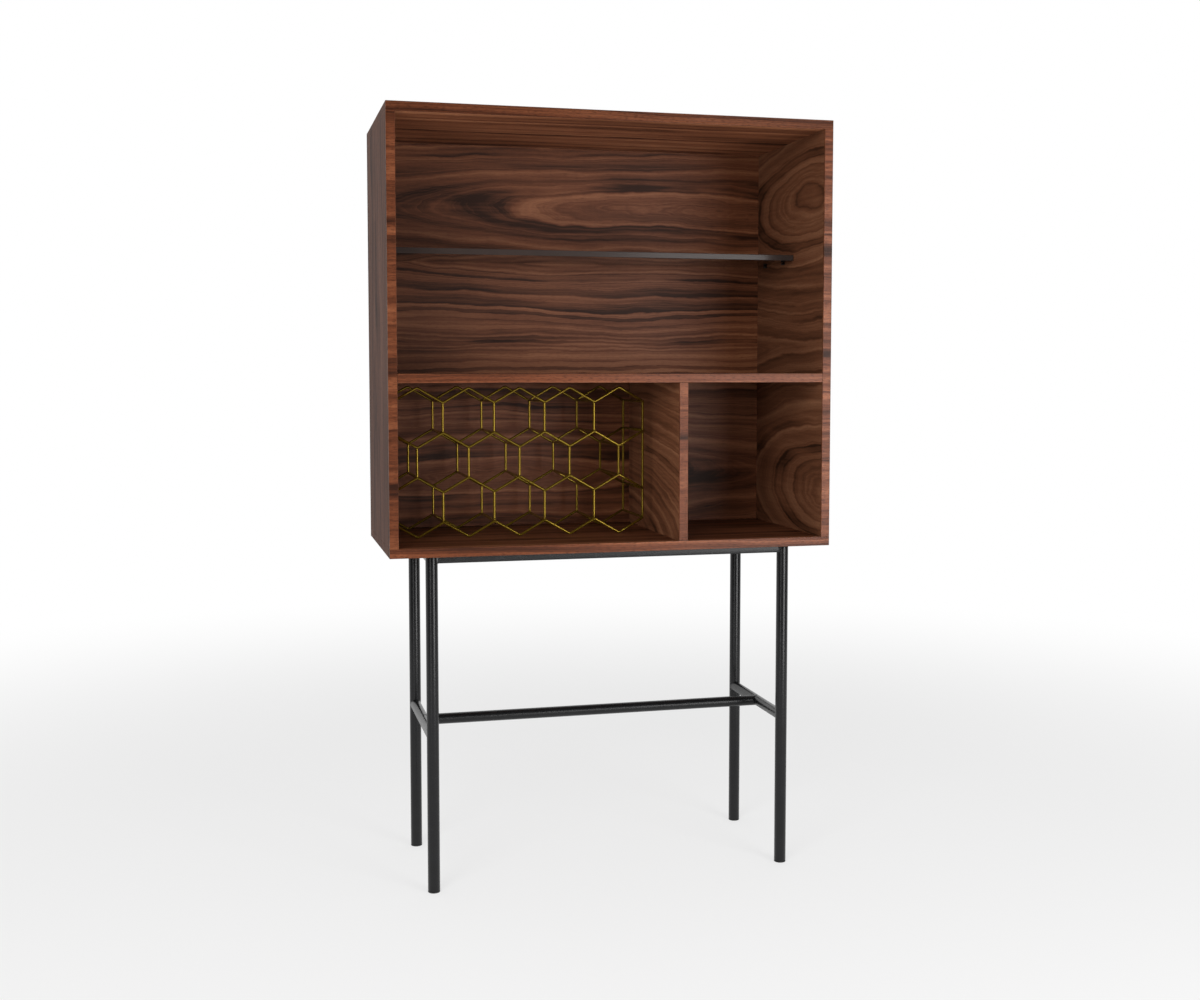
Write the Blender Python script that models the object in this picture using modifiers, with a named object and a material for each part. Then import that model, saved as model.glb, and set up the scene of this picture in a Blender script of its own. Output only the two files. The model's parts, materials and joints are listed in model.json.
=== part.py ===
"""Bar cabinet: an open walnut case with a glass shelf and a loose wire bottle rack, on a steel tube stand.

Metres, +Z up. The front faces -Y, the floor is z = 0, and the case is centred on x = 0 and y = 0.
"""

import math

import bmesh
import bpy
from mathutils import Vector

# Gap that is left between two pieces that touch
SEAT_GAP = 0.0003

# Case boards
CASE_WIDTH = 0.900
CASE_DEPTH = 0.400
CASE_HEIGHT = 0.863
BOARD = 0.018
LIPPING = 0.003
BACK_BOARD = 0.008
BACK_RECESS = 0.010
TONGUE_WIDTH = 0.006
TONGUE_LENGTH = 0.006
HOUSING_DEPTH = 0.006
GROOVE_DEPTH = 0.006

# Glass shelf and its pins
GLASS = 0.012
GLASS_DEPTH = 0.217
GLASS_LIFT = 0.240
GLASS_SIDE_GAP = 0.001
GLASS_BACK_GAP = 0.002
GLASS_ARRIS = 0.001
PIN_DIAMETER = 0.005
PIN_REACH = 0.008
PIN_HOLE_DEPTH = 0.010
PIN_INSET = 0.054

# Bottle rack
CELL_PITCH = 0.1055
ZIGZAG_SLOPE = math.radians(30)
RACK_COLUMNS = 5
RACK_ROWS = 3
RACK_DEPTH = 0.173
WIRE_DIAMETER = 0.005
ZIGZAG_INNER_BEND = 0.0035
LOOP_INNER_BEND = 0.0005
RACK_WALL_GAP = 0.001
RACK_FREE_GAP = 0.026
RACK_HEADROOM = 0.009
RACK_BACK_GAP = 0.046

# Stand
STAND_HEIGHT = 0.671
LEG_DIAMETER = 0.024
LEG_SIDE_INSET = 0.0856
LEG_FRONT_INSET = 0.043
LEG_DEPTH_SPACING = 0.289
TUBE_WALL = 0.0015
STRETCHER_DIAMETER = 0.022
STRETCHER_HEIGHT = 0.311
RAIL_SIZE = 0.016
GLIDE_RIM = 0.003
GLIDE_PLUG = 0.015
SCREW_SPACING = 0.185
SCREW_DIAMETER = 0.005
SCREW_HEAD_DIAMETER = 0.0095
SCREW_HEAD = 0.003
SCREW_GRIP = 0.012
SCREW_HOLE_SLACK = 0.0005

# Facets of round pieces
TUBE_SIDES = 24
SMALL_SIDES = 12
WIRE_BEVEL_STEPS = 2
SMOOTH_ANGLE = math.radians(35)

# How far a cutter runs past the face that it opens, and how near two points are merged
CUT_PAST = 0.002
MERGE_DISTANCE = 0.00001

# Places in the case
HALF_WIDTH = CASE_WIDTH / 2
FRONT = -CASE_DEPTH / 2
REAR = CASE_DEPTH / 2
BOARD_FRONT = FRONT + LIPPING + SEAT_GAP
CASE_BOTTOM = STAND_HEIGHT
CASE_TOP = CASE_BOTTOM + CASE_HEIGHT
INNER_HALF = HALF_WIDTH - BOARD
INNER_BOTTOM = CASE_BOTTOM + BOARD
INNER_TOP = CASE_TOP - BOARD
BACK_FACE = REAR - BACK_RECESS - BACK_BOARD

# Places in the rack's own frame: its origin is under its middle, on the board that it stands on
WIRE_RADIUS = WIRE_DIAMETER / 2
CELL_SIDE = CELL_PITCH / 2 / math.cos(ZIGZAG_SLOPE)
CELL_RISE = CELL_PITCH / 2 * math.tan(ZIGZAG_SLOPE)
ZIGZAG_BEND = WIRE_RADIUS + ZIGZAG_INNER_BEND
LOOP_BEND = WIRE_RADIUS + LOOP_INNER_BEND
BEND_DROP = ZIGZAG_BEND * (1 / math.cos(ZIGZAG_SLOPE) - 1)
RACK_SPAN = RACK_COLUMNS * CELL_PITCH
ROW_STEP = CELL_SIDE + CELL_RISE
RACK_HEIGHT = RACK_ROWS * ROW_STEP + CELL_RISE + WIRE_DIAMETER - 2 * BEND_DROP
ZIGZAG_PLANE = RACK_DEPTH / 2 - WIRE_RADIUS
WELD_REACH = LOOP_BEND + WIRE_DIAMETER + SEAT_GAP
LOOP_PLANE = ZIGZAG_PLANE - math.sqrt(WELD_REACH ** 2 - LOOP_BEND ** 2) + LOOP_BEND
END_PLANE = ZIGZAG_PLANE - WIRE_DIAMETER - SEAT_GAP

# The middle shelf clears the rack, and the divider stands beside it
SHELF_BOTTOM = INNER_BOTTOM + SEAT_GAP + RACK_HEIGHT + RACK_HEADROOM
SHELF_TOP = SHELF_BOTTOM + BOARD
RACK_LEFT = -INNER_HALF + RACK_WALL_GAP
RACK_RIGHT = RACK_LEFT + RACK_SPAN + WIRE_DIAMETER
DIVIDER_LEFT = RACK_RIGHT + RACK_FREE_GAP
DIVIDER_RIGHT = DIVIDER_LEFT + BOARD
GLASS_BOTTOM = SHELF_TOP + GLASS_LIFT
GLASS_REAR = BACK_FACE - GLASS_BACK_GAP
GLASS_FRONT = GLASS_REAR - GLASS_DEPTH

# Places in the stand
LEG_RADIUS = LEG_DIAMETER / 2
LEG_BORE = LEG_RADIUS - TUBE_WALL
STRETCHER_RADIUS = STRETCHER_DIAMETER / 2
LEG_X = HALF_WIDTH - LEG_SIDE_INSET
LEG_FRONT_Y = FRONT + LEG_FRONT_INSET
LEG_REAR_Y = LEG_FRONT_Y + LEG_DEPTH_SPACING
LEG_MIDDLE_Y = (LEG_FRONT_Y + LEG_REAR_Y) / 2
STAND_TOP = STAND_HEIGHT - SEAT_GAP
RAIL_BOTTOM = STAND_TOP - RAIL_SIZE

# Finishes: name, colour, roughness, metallic
WALNUT = ("walnut_veneer", (0.125, 0.050, 0.028), 0.45, 0.0)
WALNUT_EDGE = ("walnut_lipping", (0.175, 0.070, 0.042), 0.45, 0.0)
BLACK_STEEL = ("black_powder_coat", (0.012, 0.012, 0.013), 0.40, 0.0)
GOLD_WIRE = ("gold_wire", (0.440, 0.310, 0.075), 0.35, 1.0)
TINTED_GLASS = ("tinted_glass", (0.050, 0.048, 0.046), 0.05, 0.0)
BLACK_PLASTIC = ("black_plastic", (0.010, 0.010, 0.010), 0.60, 0.0)
ZINC_STEEL = ("zinc_steel", (0.500, 0.500, 0.490), 0.35, 1.0)
DARK_STEEL = ("dark_steel", (0.060, 0.055, 0.050), 0.40, 1.0)

part_collection = bpy.data.collections.new("bar_cabinet")
cutter_collection = bpy.data.collections.new("cutters")


def clear_scene():
    """Empty the scene, and give the parts and the cutters a collection each."""
    for obj in list(bpy.data.objects):
        bpy.data.objects.remove(obj, do_unlink=True)
    bpy.context.scene.collection.children.link(part_collection)
    bpy.context.scene.collection.children.link(cutter_collection)


def finish_material(finish):
    """The Principled material of a finish, made once."""
    name, colour, roughness, metallic = finish
    material = bpy.data.materials.get(name)
    if material is None:
        material = bpy.data.materials.new(name)
        material.use_nodes = True
        shader = material.node_tree.nodes["Principled BSDF"]
        shader.inputs["Base Color"].default_value = (*colour, 1.0)
        shader.inputs["Roughness"].default_value = roughness
        shader.inputs["Metallic"].default_value = metallic
    return material


def add_empty(name, location):
    """An empty that carries the pieces of one body."""
    empty = bpy.data.objects.new(name, None)
    empty.location = location
    part_collection.objects.link(empty)
    return empty


def add_part(name, data, finish, carrier, location=(0, 0, 0)):
    """A named piece on its carrier, with its finish."""
    data.materials.append(finish_material(finish))
    part = bpy.data.objects.new(name, data)
    part.location = location
    part.parent = carrier
    part_collection.objects.link(part)
    return part


def add_cutter(name, data, location=(0, 0, 0)):
    """A shape that only cuts or extends another one."""
    cutter = bpy.data.objects.new(name, data)
    cutter.location = location
    cutter.hide_render = True
    cutter.display_type = "WIRE"
    cutter_collection.objects.link(cutter)
    return cutter


def combine(part, tool, operation="DIFFERENCE"):
    """Cut a piece with a tool, or join the tool to it."""
    modifier = part.modifiers.new(tool.name, "BOOLEAN")
    modifier.operation = operation
    modifier.object = tool


def mesh_from(name, build):
    """A mesh that a function shapes in a bmesh."""
    shape = bmesh.new()
    build(shape)
    mesh = bpy.data.meshes.new(name)
    shape.to_mesh(mesh)
    shape.free()
    return mesh


def shade_round(mesh):
    """Smooth shading that keeps the sharp edges."""
    mesh.shade_smooth()
    mesh.set_sharp_from_angle(angle=SMOOTH_ANGLE)


def box_mesh(name, size):
    """A box about its own middle."""
    def build(shape):
        bmesh.ops.create_cube(shape, size=1.0)
        bmesh.ops.scale(shape, vec=size, verts=shape.verts)
    return mesh_from(name, build)


def box_place(low, high):
    """Size and middle of a box between two corners."""
    low = Vector(low)
    high = Vector(high)
    return high - low, (low + high) / 2


def add_box(name, low, high, finish, carrier):
    """A board or another plain block between two corners."""
    size, middle = box_place(low, high)
    return add_part(name, box_mesh(name, size), finish, carrier, middle)


def cut_box(part, name, low, high):
    """Cut the space between two corners out of a piece."""
    size, middle = box_place(low, high)
    combine(part, add_cutter(name, box_mesh(name, size), middle))


def turn_along(obj, direction):
    """Turn an object's own +Z to a direction."""
    obj.rotation_euler = Vector(direction).to_track_quat("Z", "Y").to_euler()


def rod_mesh(name, radius, length, sides, capped=True):
    """A round bar or, without caps, an open tube about its own middle, along Z."""
    def build(shape):
        bmesh.ops.create_cone(
            shape, cap_ends=capped, segments=sides, radius1=radius, radius2=radius, depth=length
        )
    mesh = mesh_from(name, build)
    shade_round(mesh)
    return mesh


def round_tool(name, start, end, radius, sides):
    """A round cutter between two points."""
    start = Vector(start)
    end = Vector(end)
    tool = add_cutter(name, rod_mesh(name, radius, (end - start).length, sides), (start + end) / 2)
    turn_along(tool, end - start)
    return tool


def cut_round(part, name, start, end, radius, sides):
    """Drill a piece between two points."""
    combine(part, round_tool(name, start, end, radius, sides))


def add_tube(name, start, end, diameter, finish, carrier):
    """A hollow steel tube between two points."""
    start = Vector(start)
    end = Vector(end)
    mesh = rod_mesh(name, diameter / 2, (end - start).length, TUBE_SIDES, capped=False)
    tube = add_part(name, mesh, finish, carrier, (start + end) / 2)
    turn_along(tube, end - start)
    wall = tube.modifiers.new("wall", "SOLIDIFY")
    wall.thickness = TUBE_WALL
    wall.offset = -1.0
    return tube


def add_turned(name, profile, sides, finish, carrier, location, direction=(0, 0, 1)):
    """A turned piece: a profile of radius and height, top to bottom, swept about Z."""
    def build(shape):
        points = [shape.verts.new((radius, 0, height)) for radius, height in profile]
        for first, second in zip(points, points[1:]):
            shape.edges.new((first, second))
    piece = add_part(name, mesh_from(name, build), finish, carrier, location)
    turn_along(piece, direction)
    sweep = piece.modifiers.new("turn", "SCREW")
    sweep.steps = sides
    sweep.render_steps = sides
    sweep.use_merge_vertices = True
    sweep.merge_threshold = MERGE_DISTANCE
    return piece


def corner_arc(before, corner, after, radius):
    """Start, middle and end of the arc that rounds a corner."""
    to_before = (before - corner).normalized()
    to_after = (after - corner).normalized()
    half_angle = to_before.angle(to_after) / 2
    inward = (to_before + to_after).normalized()
    setback = radius / math.tan(half_angle)
    reach = radius / math.sin(half_angle) - radius
    return [corner + to_before * setback, corner + inward * reach, corner + to_after * setback]


def rounded_path(corners, radius, closed):
    """A path with each of its corners rounded. The ends of an open path stay."""
    path = []
    count = len(corners)
    for index, corner in enumerate(corners):
        if not closed and index in (0, count - 1):
            path.append(corner)
        else:
            path += corner_arc(corners[index - 1], corner, corners[(index + 1) % count], radius)
    return path


def wire_curve(name, corners, radius, closed=False):
    """The curve of a bent wire."""
    path = rounded_path(corners, radius, closed)
    curve = bpy.data.curves.new(name, "CURVE")
    curve.dimensions = "3D"
    curve.bevel_depth = WIRE_RADIUS
    curve.bevel_resolution = WIRE_BEVEL_STEPS
    curve.use_fill_caps = True
    spline = curve.splines.new("POLY")
    spline.points.add(len(path) - 1)
    for point, place in zip(spline.points, path):
        point.co = (*place, 1.0)
    spline.use_cyclic_u = closed
    spline.use_smooth = True
    return curve


def wire_as_mesh(name, curve):
    """A closed mesh of a wire, which a Boolean can join to others."""
    holder = bpy.data.objects.new(name, curve)
    cutter_collection.objects.link(holder)
    graph = bpy.context.evaluated_depsgraph_get()
    mesh = bpy.data.meshes.new_from_object(holder.evaluated_get(graph))
    shape = bmesh.new()
    shape.from_mesh(mesh)
    bmesh.ops.remove_doubles(shape, verts=shape.verts, dist=MERGE_DISTANCE)
    shape.to_mesh(mesh)
    shape.free()
    bpy.data.objects.remove(holder, do_unlink=True)
    shade_round(mesh)
    return mesh


def build_outer_boards(carrier):
    """Top, bottom and sides. The sides' tongues enter grooves, and all four hold the back panel."""
    tongue = TONGUE_LENGTH - SEAT_GAP
    outline = {"top_panel": (INNER_TOP, CASE_TOP), "bottom_panel": (CASE_BOTTOM, INNER_BOTTOM)}
    for name, (low_z, high_z) in outline.items():
        low = (-HALF_WIDTH, BOARD_FRONT, low_z)
        panel = add_box(name, low, (HALF_WIDTH, REAR, high_z), WALNUT, carrier)
        inner_face, inward = (low_z, -1) if name == "top_panel" else (high_z, 1)
        depths = sorted((inner_face + inward * CUT_PAST, inner_face - inward * TONGUE_LENGTH))
        for side in (-1, 1):
            edges = sorted((side * (INNER_HALF - SEAT_GAP), side * (INNER_HALF + TONGUE_WIDTH + SEAT_GAP)))
            low = (edges[0], BOARD_FRONT - CUT_PAST, depths[0])
            cut_box(panel, f"{name}_tongue_groove", low, (edges[1], REAR + CUT_PAST, depths[1]))
        half = INNER_HALF + GROOVE_DEPTH
        depths = sorted((inner_face + inward * CUT_PAST, inner_face - inward * GROOVE_DEPTH))
        low = (-half, BACK_FACE - SEAT_GAP, depths[0])
        cut_box(panel, f"{name}_back_groove", low, (half, BACK_FACE + BACK_BOARD + SEAT_GAP, depths[1]))
        if name == "bottom_panel":
            house_divider(panel, INNER_BOTTOM - HOUSING_DEPTH, INNER_BOTTOM + CUT_PAST)
    for name, side in (("left_side", -1), ("right_side", 1)):
        edges = sorted((side * INNER_HALF, side * HALF_WIDTH))
        low = (edges[0], BOARD_FRONT, INNER_BOTTOM - tongue)
        board = add_box(name, low, (edges[1], REAR, INNER_TOP + tongue), WALNUT, carrier)
        shape_side(board, name, side)


def shape_side(board, name, side):
    """Leave tongues at a side's ends, and cut its shelf housing, back groove and pin holes."""
    rebate = sorted((side * (INNER_HALF + TONGUE_WIDTH), side * (HALF_WIDTH + CUT_PAST)))
    ends = {
        "foot": (INNER_BOTTOM - TONGUE_LENGTH - CUT_PAST, INNER_BOTTOM + SEAT_GAP),
        "head": (INNER_TOP - SEAT_GAP, INNER_TOP + TONGUE_LENGTH + CUT_PAST),
    }
    for end, (low_z, high_z) in ends.items():
        low = (rebate[0], BOARD_FRONT - CUT_PAST, low_z)
        cut_box(board, f"{name}_{end}_rebate", low, (rebate[1], REAR + CUT_PAST, high_z))
    housing = sorted((side * (INNER_HALF - CUT_PAST), side * (INNER_HALF + HOUSING_DEPTH)))
    low = (housing[0], BOARD_FRONT - CUT_PAST, SHELF_BOTTOM - SEAT_GAP)
    cut_box(board, f"{name}_housing", low, (housing[1], BACK_FACE, SHELF_TOP + SEAT_GAP))
    groove = sorted((side * (INNER_HALF - CUT_PAST), side * (INNER_HALF + GROOVE_DEPTH)))
    past_end = TONGUE_LENGTH + CUT_PAST
    low = (groove[0], BACK_FACE - SEAT_GAP, INNER_BOTTOM - past_end)
    high = (groove[1], BACK_FACE + BACK_BOARD + SEAT_GAP, INNER_TOP + past_end)
    cut_box(board, f"{name}_back_groove", low, high)
    for y in pin_places():
        start = (side * (INNER_HALF - CUT_PAST), y, pin_height())
        end = (side * (INNER_HALF + PIN_HOLE_DEPTH + SEAT_GAP), y, pin_height())
        cut_round(board, f"{name}_pin_hole", start, end, PIN_DIAMETER / 2 + SEAT_GAP, SMALL_SIDES)


def house_divider(board, low_z, high_z):
    """The housing that an end of the divider enters."""
    low = (DIVIDER_LEFT - SEAT_GAP, BOARD_FRONT - CUT_PAST, low_z)
    cut_box(board, f"{board.name}_divider_housing", low, (DIVIDER_RIGHT + SEAT_GAP, BACK_FACE, high_z))


def build_inner_boards(carrier):
    """Middle shelf, divider and back panel."""
    housed = HOUSING_DEPTH - SEAT_GAP
    shelf_end = INNER_HALF + housed
    rear = BACK_FACE - SEAT_GAP
    low = (-shelf_end, BOARD_FRONT, SHELF_BOTTOM)
    shelf = add_box("middle_shelf", low, (shelf_end, rear, SHELF_TOP), WALNUT, carrier)
    house_divider(shelf, SHELF_BOTTOM - CUT_PAST, SHELF_BOTTOM + HOUSING_DEPTH)
    low = (DIVIDER_LEFT, BOARD_FRONT, INNER_BOTTOM - housed)
    add_box("divider", low, (DIVIDER_RIGHT, rear, SHELF_BOTTOM + housed), WALNUT, carrier)
    grooved = GROOVE_DEPTH - SEAT_GAP
    low = (-INNER_HALF - grooved, BACK_FACE, INNER_BOTTOM - grooved)
    high = (INNER_HALF + grooved, BACK_FACE + BACK_BOARD, INNER_TOP + grooved)
    add_box("back_panel", low, high, WALNUT, carrier)


def build_lippings(carrier):
    """Strips of solid wood that close the boards' front edges."""
    between = INNER_HALF - SEAT_GAP
    upright = (INNER_BOTTOM + SEAT_GAP, INNER_TOP - SEAT_GAP)
    under_shelf = (INNER_BOTTOM + SEAT_GAP, SHELF_BOTTOM - SEAT_GAP)
    places = {
        "top_lipping": ((-HALF_WIDTH, HALF_WIDTH), (INNER_TOP, CASE_TOP)),
        "bottom_lipping": ((-HALF_WIDTH, HALF_WIDTH), (CASE_BOTTOM, INNER_BOTTOM)),
        "left_side_lipping": ((-HALF_WIDTH, -INNER_HALF), upright),
        "right_side_lipping": ((INNER_HALF, HALF_WIDTH), upright),
        "middle_shelf_lipping": ((-between, between), (SHELF_BOTTOM, SHELF_TOP)),
        "divider_lipping": ((DIVIDER_LEFT, DIVIDER_RIGHT), under_shelf),
    }
    for name, (across, up) in places.items():
        low = (across[0], FRONT, up[0])
        add_box(name, low, (across[1], FRONT + LIPPING, up[1]), WALNUT_EDGE, carrier)


def pin_places():
    """Where the shelf pins stand, front to back."""
    return GLASS_FRONT + PIN_INSET, GLASS_REAR - PIN_INSET


def pin_height():
    """Height of the pins' axes: the glass lies on top of them."""
    return GLASS_BOTTOM - SEAT_GAP - PIN_DIAMETER / 2


def build_glass_shelf(carrier, slide):
    """The glass shelf on its slide, and the pins in the sides that it lies on."""
    half = Vector((INNER_HALF - GLASS_SIDE_GAP, GLASS_DEPTH / 2, GLASS / 2))
    glass = add_box("glass_shelf", -half, half, TINTED_GLASS, slide)
    arris = glass.modifiers.new("arris", "BEVEL")
    arris.width = GLASS_ARRIS
    arris.segments = 1
    for side_name, side in (("left", -1), ("right", 1)):
        for place_name, y in zip(("front", "rear"), pin_places()):
            name = f"shelf_pin_{place_name}_{side_name}"
            mesh = rod_mesh(name, PIN_DIAMETER / 2, PIN_REACH + PIN_HOLE_DEPTH, SMALL_SIDES)
            middle = INNER_HALF + (PIN_HOLE_DEPTH - PIN_REACH) / 2
            pin = add_part(name, mesh, DARK_STEEL, carrier, (side * middle, y, pin_height()))
            turn_along(pin, (side, 0, 0))


def leg_places():
    """Name and axis of each leg."""
    for row_name, y in (("front", LEG_FRONT_Y), ("rear", LEG_REAR_Y)):
        for side_name, x in (("left", -LEG_X), ("right", LEG_X)):
            yield f"{row_name}_{side_name}", x, y


def build_legs(carrier):
    """Four round legs, each with a push-in glide."""
    plug = LEG_BORE - SEAT_GAP
    profile = [(0, GLIDE_RIM + GLIDE_PLUG), (plug, GLIDE_RIM + GLIDE_PLUG), (plug, GLIDE_RIM)]
    profile += [(LEG_RADIUS, GLIDE_RIM), (LEG_RADIUS, 0), (0, 0)]
    for name, x, y in leg_places():
        foot = (x, y, GLIDE_RIM + SEAT_GAP)
        add_tube(f"{name}_leg", foot, (x, y, STAND_TOP), LEG_DIAMETER, BLACK_STEEL, carrier)
        add_turned(f"{name}_glide", profile, TUBE_SIDES, BLACK_PLASTIC, carrier, (x, y, 0))


def cope(part, name, x, y, low_z, high_z):
    """Shape a bar's end to the round of the leg at x, y."""
    cut_round(part, name, (x, y, low_z), (x, y, high_z), LEG_RADIUS + SEAT_GAP, TUBE_SIDES)


def add_rail(name, start, end, carrier):
    """A square tube under the case, coped to the legs at its two ends."""
    start = Vector(start)
    end = Vector(end)
    along = (end - start).normalized()
    across = Vector((abs(along.y), abs(along.x), 0))
    reach = across * RAIL_SIZE / 2
    rise = Vector((0, 0, RAIL_SIZE / 2))
    rail = add_box(name, start - reach - rise, end + reach + rise, BLACK_STEEL, carrier)
    wall = across * TUBE_WALL + Vector((0, 0, TUBE_WALL))
    past = along * CUT_PAST
    cut_box(rail, f"{name}_bore", start - reach - rise + wall - past, end + reach + rise - wall + past)
    for leg in (start, end):
        cope(rail, f"{name}_cope", leg.x, leg.y, RAIL_BOTTOM - CUT_PAST, STAND_TOP + CUT_PAST)
    return rail


def build_rails(carrier):
    """The frame of four rails at the top of the legs, and the screws that hold the case on it."""
    z = STAND_TOP - RAIL_SIZE / 2
    bottom_panel = bpy.data.objects["bottom_panel"]
    for name, y in (("front", LEG_FRONT_Y), ("rear", LEG_REAR_Y)):
        add_rail(f"{name}_rail", (-LEG_X, y, z), (LEG_X, y, z), carrier)
    for name, x in (("left", -LEG_X), ("right", LEG_X)):
        rail = add_rail(f"{name}_rail", (x, LEG_FRONT_Y, z), (x, LEG_REAR_Y, z), carrier)
        for row_name, row in (("front", -1), ("rear", 1)):
            y = LEG_MIDDLE_Y + row * SCREW_SPACING / 2
            fasten(rail, bottom_panel, f"frame_screw_{row_name}_{name}", x, y, carrier)


def fasten(rail, panel, name, x, y, carrier):
    """A pan-head screw, up through a rail into the bottom panel."""
    head = SCREW_HEAD_DIAMETER / 2
    shank = SCREW_DIAMETER / 2
    hole = shank + SCREW_HOLE_SLACK
    seat = RAIL_BOTTOM - SEAT_GAP
    length = CASE_BOTTOM + SCREW_GRIP - seat
    profile = [(0, length), (shank, length), (shank, 0), (head, 0), (head, -SCREW_HEAD), (0, -SCREW_HEAD)]
    add_turned(name, profile, SMALL_SIDES, ZINC_STEEL, carrier, (x, y, seat))
    start = (x, y, RAIL_BOTTOM - CUT_PAST)
    cut_round(rail, f"{name}_rail_hole", start, (x, y, STAND_TOP + CUT_PAST), hole, SMALL_SIDES)
    start = (x, y, CASE_BOTTOM - CUT_PAST)
    end = (x, y, CASE_BOTTOM + SCREW_GRIP + SEAT_GAP)
    cut_round(panel, f"{name}_pilot", start, end, shank + SEAT_GAP, SMALL_SIDES)


def build_stretchers(carrier):
    """A stretcher between the legs of each side, and one between those two."""
    z = STRETCHER_HEIGHT
    for name, x in (("left", -LEG_X), ("right", LEG_X)):
        ends = (x, LEG_FRONT_Y, z), (x, LEG_REAR_Y, z)
        stretcher = add_tube(f"{name}_stretcher", *ends, STRETCHER_DIAMETER, BLACK_STEEL, carrier)
        for y in (LEG_FRONT_Y, LEG_REAR_Y):
            cope(stretcher, f"{name}_stretcher_cope", x, y, z - LEG_DIAMETER, z + LEG_DIAMETER)
    ends = (-LEG_X, LEG_MIDDLE_Y, z), (LEG_X, LEG_MIDDLE_Y, z)
    stretcher = add_tube("centre_stretcher", *ends, STRETCHER_DIAMETER, BLACK_STEEL, carrier)
    for x in (-LEG_X, LEG_X):
        start = (x, LEG_MIDDLE_Y - STRETCHER_DIAMETER, z)
        end = (x, LEG_MIDDLE_Y + STRETCHER_DIAMETER, z)
        cut_round(stretcher, "centre_stretcher_cope", start, end, STRETCHER_RADIUS + SEAT_GAP, TUBE_SIDES)


def low_corner(level):
    """Height of a zigzag's low corners, counted from the top zigzag down. They lie below the bent wire."""
    return WIRE_RADIUS - BEND_DROP + (RACK_ROWS - level) * ROW_STEP


def high_corner(level):
    """Height of a zigzag's high corners."""
    return low_corner(level) + CELL_RISE


def half_column(index):
    """Place across of a zigzag's corner, counted from the left end."""
    return (index - RACK_COLUMNS) * CELL_PITCH / 2


def add_zigzags(slide):
    """The zigzag wires of the front and the rear frame."""
    for level in range(RACK_ROWS + 1):
        for frame_name, y in (("front", -ZIGZAG_PLANE), ("rear", ZIGZAG_PLANE)):
            corners = []
            for index in range(2 * RACK_COLUMNS + 1):
                low = index % 2 == level % 2
                z = low_corner(level) if low else high_corner(level)
                corners.append(Vector((half_column(index), y, z)))
            name = f"rack_{frame_name}_zigzag_{level + 1}"
            add_part(name, wire_curve(name, corners, ZIGZAG_BEND), GOLD_WIRE, slide)


def loop_corners(x, plane, top, bottom):
    """Corners of an upright loop of wire across the rack's depth."""
    around = ((-plane, bottom), (-plane, top), (plane, top), (plane, bottom))
    return [Vector((x, y, z)) for y, z in around]


def add_cell_walls(slide):
    """The loops between the cells of a row: two uprights and two depth rods each."""
    for row in range(RACK_ROWS):
        top = low_corner(row) + BEND_DROP
        bottom = high_corner(row + 1) - BEND_DROP
        first = 2 - row % 2
        for count, index in enumerate(range(first, 2 * RACK_COLUMNS, 2)):
            name = f"rack_loop_row_{row + 1}_{count + 1}"
            corners = loop_corners(half_column(index), LOOP_PLANE, top, bottom)
            add_part(name, wire_curve(name, corners, LOOP_BEND, closed=True), GOLD_WIRE, slide)


def add_rack_ends(slide):
    """The tall loop at each end of the rack, with a rod at each inner zigzag."""
    top = low_corner(0)
    bottom = high_corner(RACK_ROWS)
    for name, index in (("rack_left_end", 0), ("rack_right_end", 2 * RACK_COLUMNS)):
        x = half_column(index)
        curve = wire_curve(name, loop_corners(x, END_PLANE, top, bottom), LOOP_BEND, closed=True)
        end = add_part(name, wire_as_mesh(name, curve), GOLD_WIRE, slide)
        for level in range(1, RACK_ROWS):
            z = high_corner(level) if level % 2 else low_corner(level)
            rod_name = f"{name}_rod_{level}"
            ends = [Vector((x, -END_PLANE, z)), Vector((x, END_PLANE, z))]
            rod = add_cutter(rod_name, wire_as_mesh(rod_name, wire_curve(rod_name, ends, LOOP_BEND)))
            rod.location = slide.location
            combine(end, rod, "UNION")


def build_rack(slide):
    """The honeycomb bottle rack, which stands loose on the bottom panel."""
    add_zigzags(slide)
    add_cell_walls(slide)
    add_rack_ends(slide)


def main():
    """Build the cabinet from the floor's middle up."""
    clear_scene()
    cabinet = add_empty("cabinet_frame", (0, 0, 0))
    glass_middle = (GLASS_FRONT + GLASS_REAR) / 2
    glass_slide = add_empty("glass_slide", (0, glass_middle, GLASS_BOTTOM + GLASS / 2))
    rack_middle = BACK_FACE - RACK_BACK_GAP - RACK_DEPTH / 2
    rack_foot = ((RACK_LEFT + RACK_RIGHT) / 2, rack_middle, INNER_BOTTOM + SEAT_GAP)
    rack_slide = add_empty("rack_slide", rack_foot)
    build_outer_boards(cabinet)
    build_inner_boards(cabinet)
    build_lippings(cabinet)
    build_glass_shelf(cabinet, glass_slide)
    build_legs(cabinet)
    build_rails(cabinet)
    build_stretchers(cabinet)
    build_rack(rack_slide)


main()
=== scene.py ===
"""Looks of an open bar cabinet: walnut case, smoked glass shelf, gold wire rack and black tube stand.

Metres, +Z up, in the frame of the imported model. Every node of the frame gets one finished piece.
"""

from __future__ import annotations

import json
import logging
import math
from dataclasses import dataclass, field, replace
from enum import Enum
from typing import ClassVar, Iterator

import bmesh
import bpy
from mathutils import Euler, Matrix, Vector

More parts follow.
